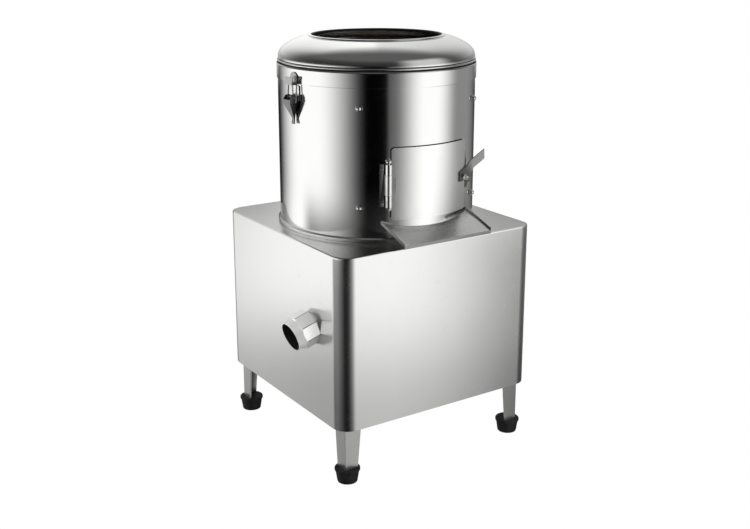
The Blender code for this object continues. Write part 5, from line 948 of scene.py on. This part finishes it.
# ---- what repeats: screws set at marked places and abrasive grains strewn over a surface
class Tree:
    """A geometry node tree built step by step, with named inputs."""

    def __init__(self, name, **inputs):
        self.group = bpy.data.node_groups.new(name, "GeometryNodeTree")
        self.ids = {}
        for label, kind in {"Geometry": "Geometry", **inputs}.items():
            socket_type = "NodeSocket" + kind
            item = self.group.interface.new_socket(name=label, in_out="INPUT", socket_type=socket_type)
            self.ids[label] = item.identifier
        self.group.interface.new_socket(name="Geometry", in_out="OUTPUT", socket_type="NodeSocketGeometry")
        self.given = self.group.nodes.new("NodeGroupInput").outputs
        self.end = self.group.nodes.new("NodeGroupOutput")

    def add(self, kind, settings, **feeds):
        """One node with its settings and inputs, given back as its outputs."""
        node = self.group.nodes.new(kind)
        for key, value in settings.items():
            setattr(node, key, value)
        for key, value in feeds.items():
            socket = node.inputs[key.replace("_", " ")]
            if isinstance(value, bpy.types.NodeSocket):
                self.group.links.new(value, socket)
            else:
                socket.default_value = value
        return node.outputs

    def close(self, **spread):
        """Copies on points, made real and given their material, which is what the export keeps."""
        copies = self.add("GeometryNodeInstanceOnPoints", {}, **spread)
        real = self.add("GeometryNodeRealizeInstances", {}, Geometry=copies[0])
        coated = self.add("GeometryNodeSetMaterial", {}, Geometry=real[0], Material=self.given["Material"])
        self.group.links.new(coated[0], self.end.inputs[0])

    def grown(self, name, mesh, **values):
        """Plain mesh that the tree makes of this mesh with these input values."""
        item = new_object(name, mesh)
        step = item.modifiers.new("repeat", "NODES")
        step.node_group = self.group
        for label, value in values.items():
            step[self.ids[label]] = value
        return baked(item)


def screw_head():
    """Domed cross-recess screw head of radius 1, its foot on the plane."""
    profile = [(0, 0.62)] + dome(0.10, 1.0, 0.52, range(12, 91, 13)) + [(1.02, 0.05), (1.0, 0), (0, 0)]
    head, arm, floor = spun("head", profile, 28, HERE), oblong(-0.5, -0.09, 0.5, 0.09), 0.30
    for turn in (0, 90):
        head = carved(head, prism("recess", arm, floor, 1.0, Matrix.Rotation(math.radians(turn), 4, "Z")))
    return worked(head, sharp=30)


def screw_marks():
    """Where the screws of the hinge bracket, switch box and service panel sit, and which way they face."""
    leaf_out = (HINGE.to_3x3() @ Vector((0, -1, 0))).normalized()
    hinge = [(HINGE @ Vector((-0.0132, -0.0050, height)), leaf_out) for height in (0.5565, 0.6265)]
    low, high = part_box("switch_box")
    bezel, edge = 0.0035, 0.0085
    spots = [(y, z) for y in (low.y + edge, high.y - edge) for z in (low.z + edge, high.z - edge)]
    box = [(Vector((high.x - bezel, y, z)), Vector((1, 0, 0))) for y, z in spots]
    low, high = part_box("service_panel")
    edge, pitch = 0.008, (high.x - low.x - 0.016) / 4
    spots = [(low.x + edge + pitch * i, z) for i in range(5) for z in (low.z + 0.007, high.z - 0.007)]
    panel = [(Vector((x, high.y, z)), Vector((0, 1, 0))) for x, z in spots]
    return hinge, box, panel


def make_screws():
    """Screws of the hinge bracket, switch box and service panel."""
    tree = Tree("set_on_marks", Unit="Object", Size="Float", Material="Material")
    unit = tree.add("GeometryNodeObjectInfo", {"transform_space": "ORIGINAL"}, Object=tree.given["Unit"])
    facing = tree.add("GeometryNodeInputNamedAttribute", {"data_type": "FLOAT_VECTOR"}, Name="facing")
    aim = tree.add("FunctionNodeAlignRotationToVector", {"axis": "Z"}, Vector=facing[0])
    marks, size = tree.given["Geometry"], tree.given["Size"]
    tree.close(Points=marks, Instance=unit["Geometry"], Rotation=aim[0], Scale=size)
    unit_item = new_object("unit_screw", screw_head())
    hinge, box, panel = screw_marks()
    for name, size, finish, places in (
        ("hinge_screws", 0.0024, "bracket", hinge),
        ("switch_box_screws", 0.0026, "plated_steel", box),
        ("service_panel_screws", 0.0042, "plated_steel", panel),
    ):
        cloud = bpy.data.meshes.new(name)
        cloud.from_pydata([tuple(spot) for spot, way in places], [], [])
        way_of = cloud.attributes.new("facing", "FLOAT_VECTOR", "POINT")
        for item, (spot, way) in zip(way_of.data, places):
            item.vector = way
        mesh = tree.grown(name, cloud, Unit=unit_item, Size=size, Material=FINISH[finish])
        extra(name, mesh, finish)
    bpy.data.objects.remove(unit_item)


def on_disc_top(normal, spot):
    """Whether a face of the disc looks up, outside its hub."""
    return normal.z > 0.5 and spot.length > 0.03


def in_liner(normal, spot):
    """Whether a face of the liner looks at the axis."""
    return normal.xy.dot(spot) < -0.1 and spot.length < 0.2


def skin_of(name, node, wanted):
    """The faces of a CAD node that are wanted, by their normal and their place round the axis."""
    bm = bmesh.new()
    bm.from_mesh(NODES[node].data)
    bm.normal_update()
    rest = [face for face in bm.faces if not wanted(face.normal, (face.calc_center_median() - AXIS).xy)]
    bmesh.ops.delete(bm, geom=rest, context="FACES")
    skin = bpy.data.meshes.new(name)
    bm.to_mesh(skin)
    bm.free()
    return skin


def make_grains():
    """Abrasive grains on the disc and on the liner's inner face."""
    tree = Tree("strewn_grains", Density="Float", Grain="Float", Seed="Int", Material="Material")
    seed, whole_turn = tree.given["Seed"], (6.28, 6.28, 6.28)
    spread = tree.add(
        "GeometryNodeDistributePointsOnFaces",
        {"distribute_method": "RANDOM"},
        Mesh=tree.given["Geometry"],
        Density=tree.given["Density"],
        Seed=seed,
    )
    grain = tree.add("GeometryNodeMeshUVSphere", {}, Segments=4, Rings=3, Radius=tree.given["Grain"])
    vectors = {"data_type": "FLOAT_VECTOR"}
    spin = tree.add("FunctionNodeRandomValue", vectors, Max=whole_turn, Seed=seed)
    size = tree.add("FunctionNodeRandomValue", vectors, Min=(0.5, 0.5, 0.4), Max=(1.2, 1.2, 0.9), Seed=seed)
    tree.close(Points=spread["Points"], Instance=grain["Mesh"], Rotation=spin[0], Scale=size[0])
    for name, node, wanted, finish, density, radius, seed_value in (
        ("disc_grains", "abrasive_disc", on_disc_top, "grit_disc", 62000.0, 0.0011, 7),
        ("liner_grains", "abrasive_liner", in_liner, "grit_liner", 30000.0, 0.0010, 11),
    ):
        values = {"Density": density, "Grain": radius, "Seed": seed_value, "Material": FINISH[finish]}
        mesh = tree.grown(name, skin_of(name, node, wanted), **values)
        extra(name, mesh, finish, BODY_OF[node])


make_screws()
make_grains()


# ---- studio: glows of its tent as (degrees from the camera, half width, softness, strength)
SOFT_BOXES = ((-78, 14, 53, 1.22), (58, 7, 32, 0.95), (77, 38, 44, 0.28))
LOW_BOXES = ((-118, 8, 16, 0.14), (-44, 16, 20, 0.20))
HIGH_RIGHT = (54, 10, 26, 0.62)
BLACK_FLAG = (0, 9.5, 4, 0.97)
CAMERA_SIDE = (0, 60, 60, 0.7)
SHADE_BASE = 0.012
LOW_BASE = 0.04
REAR_CARD = 0.80
SKY_FRONT = 0.12
SKY_REAR = 1.02
FLOOR_HALF = 9
TENT_RADIUS = 1.0
TENT_FOOT = -1.2
TENT_TOP = 2.2
LAMP_AIM = Vector((0, 0, 0.45))
LAMPS = (
    ("key_light", (-1.6, -1.9, 2.3), 1.6, 26),
    ("fill_light", (2.0, -1.2, 1.7), 1.8, 14),
    ("rear_light", (0.6, 2.2, 2.2), 1.6, 16),
    ("mouth_light", (0.0, 0.0, 2.6), 0.7, 22),
)
CAMERA_AZIMUTH = -33.576
CAMERA_ELEVATION = 14.809
CAMERA_SENSOR = 36
CAMERA_LENS = 51.632
CAMERA_SHIFT = -0.06
CAMERA_DISTANCE = 2.38186
CAMERA_AIM = AXIS + Vector((0.02150, 0.03782, 0.45677))
WHITE = (1, 1, 1, 1)


def make_floor():
    """White floor that the camera sees as pure white and that no reflection shows."""
    corners = oblong(-FLOOR_HALF, -FLOOR_HALF, FLOOR_HALF, FLOOR_HALF)
    sheet = mesh_of("floor", [(x, y, 0) for x, y in corners], [(0, 1, 2, 3)])
    floor = new_object("studio_floor", sheet)
    paper = Surface("studio_white")
    near = paper.shader((0.98, 0.98, 0.98), paper.noise(size=0.5, detail=2.0) * 0.02 + 0.9)
    far = paper.add("Emission", "Emission", {}, WHITE, 1.0)
    seen = paper.add("LightPath", "Is Camera Ray", {})
    floor.data.materials.append(paper.output(paper.add("MixShader", "Shader", {}, seen, near, far)))
    floor.visible_glossy = False


def make_world():
    """Even white light from all sides."""
    world = bpy.data.worlds.new("studio")
    world.use_nodes = True
    bpy.context.scene.world = world
    sky = Surface("sky", world.node_tree)
    background = sky.add("Background", "Background", {}, WHITE, 1.0)
    output = sky.tree.nodes.new("ShaderNodeOutputWorld")
    sky.tree.links.new(background.socket, output.inputs[0])


def tent_strength(light):
    """How bright the tent is, by height and by degrees round it from the camera."""
    spot = light.add("TexCoord", "Object", {})
    x, y, z = (light.add("SeparateXYZ", axis, {}, spot) for axis in "XYZ")
    aside, ahead = x - AXIS.x, AXIS.y - y
    turn = aside.maths("ARCTAN2", ahead)
    share = (turn * (1 / (2 * math.pi)) + (0.5 - CAMERA_AZIMUTH / 360)).maths("FRACT")
    around = share * 360.0 - 180.0
    apart = around.maths("ABSOLUTE")

    # walls: soft boxes cut by a black flag over the camera, then low boxes, two dimmer spans and a rear card
    walls = SHADE_BASE
    for box in SOFT_BOXES:
        walls = walls + around.lit(box)
    walls = walls * (1 - around.lit(BLACK_FLAG))
    below = z.between(0.40, 0.24)
    low = LOW_BASE
    for box in LOW_BOXES:
        low = low + around.lit(box)
    walls = walls + low * below
    narrow = around.span(56.0, 79.0, 100.0, 150.0) + around.span(-92.0, -74.0, -10.0, 10.0) * 1.1
    walls = walls * (1 - narrow * below * 0.72) * (z.between(-0.26, 0.12) * 0.50 + 0.50)
    left_low = around.span(-113.0, -98.0, -80.0, -60.0) * z.between(0.08, -0.14)
    walls = walls * (1 - left_low * 0.32) + apart.between(158.0, 170.0) * REAR_CARD

    # sky: bright at the rear, with a high soft box at the right, down to the height where the walls take over
    view = math.radians(CAMERA_AZIMUTH)
    rearward = (aside * -math.sin(view) - ahead * math.cos(view)).maths("MAXIMUM", 0.0)
    sky = rearward * rearward * (SKY_REAR - around.between(-40.0, 130.0) * 0.32)
    sky = (sky + rearward * 0.06 + SKY_FRONT) * (z.between(0.80, 1.02) * 0.42 + 0.58)
    sky = sky * (1 - around.lit(CAMERA_SIDE) * (1 - z.between(0.9, 1.9)))
    high = around.lit(HIGH_RIGHT) * z.between(1.75, 1.25)
    upper = (z + apart.between(120.0, 150.0) * 0.13).between(0.74, 0.84)
    return walls * (1 - upper) + (sky + high) * upper


def make_tent():
    """Round tent of soft boxes that only reflections show."""
    levels = [(0, TENT_FOOT), (TENT_RADIUS, TENT_FOOT), (TENT_RADIUS, TENT_TOP), (0, TENT_TOP)]
    tent = new_object("studio_tent", spun("tent", levels, 96))
    light = Surface("studio_cards")
    glow = light.add("Emission", "Emission", {}, WHITE, tent_strength(light))
    tent.data.materials.append(light.output(glow))
    tent.visible_camera = False
    tent.visible_diffuse = False
    tent.visible_shadow = False


def make_lamps():
    """Soft lamps that no reflection shows."""
    for name, spot, size, power in LAMPS:
        lamp = bpy.data.lights.new(name, "AREA")
        lamp.shape, lamp.size, lamp.energy = "DISK", size, power
        item = new_object(name, lamp)
        item.location = spot
        item.rotation_euler = (LAMP_AIM - Vector(spot)).to_track_quat("-Z", "Y").to_euler()
        item.visible_glossy = False
        item.visible_camera = False


def make_camera():
    """Camera of the photograph."""
    camera = bpy.data.cameras.new("camera")
    camera.lens, camera.sensor_width, camera.shift_y = CAMERA_LENS, CAMERA_SENSOR, CAMERA_SHIFT
    camera.clip_end = 50
    item = new_object("camera", camera)
    azimuth, elevation = math.radians(CAMERA_AZIMUTH), math.radians(CAMERA_ELEVATION)
    flat = math.cos(elevation)
    back = Vector((math.sin(azimuth) * flat, -math.cos(azimuth) * flat, math.sin(elevation)))
    item.location = CAMERA_AIM + back * CAMERA_DISTANCE
    item.rotation_euler = (-back).to_track_quat("-Z", "Y").to_euler()
    bpy.context.scene.camera = item


bpy.context.scene.view_settings.view_transform = "Standard"
make_floor()
make_world()
make_tent()
make_lamps()
make_camera()
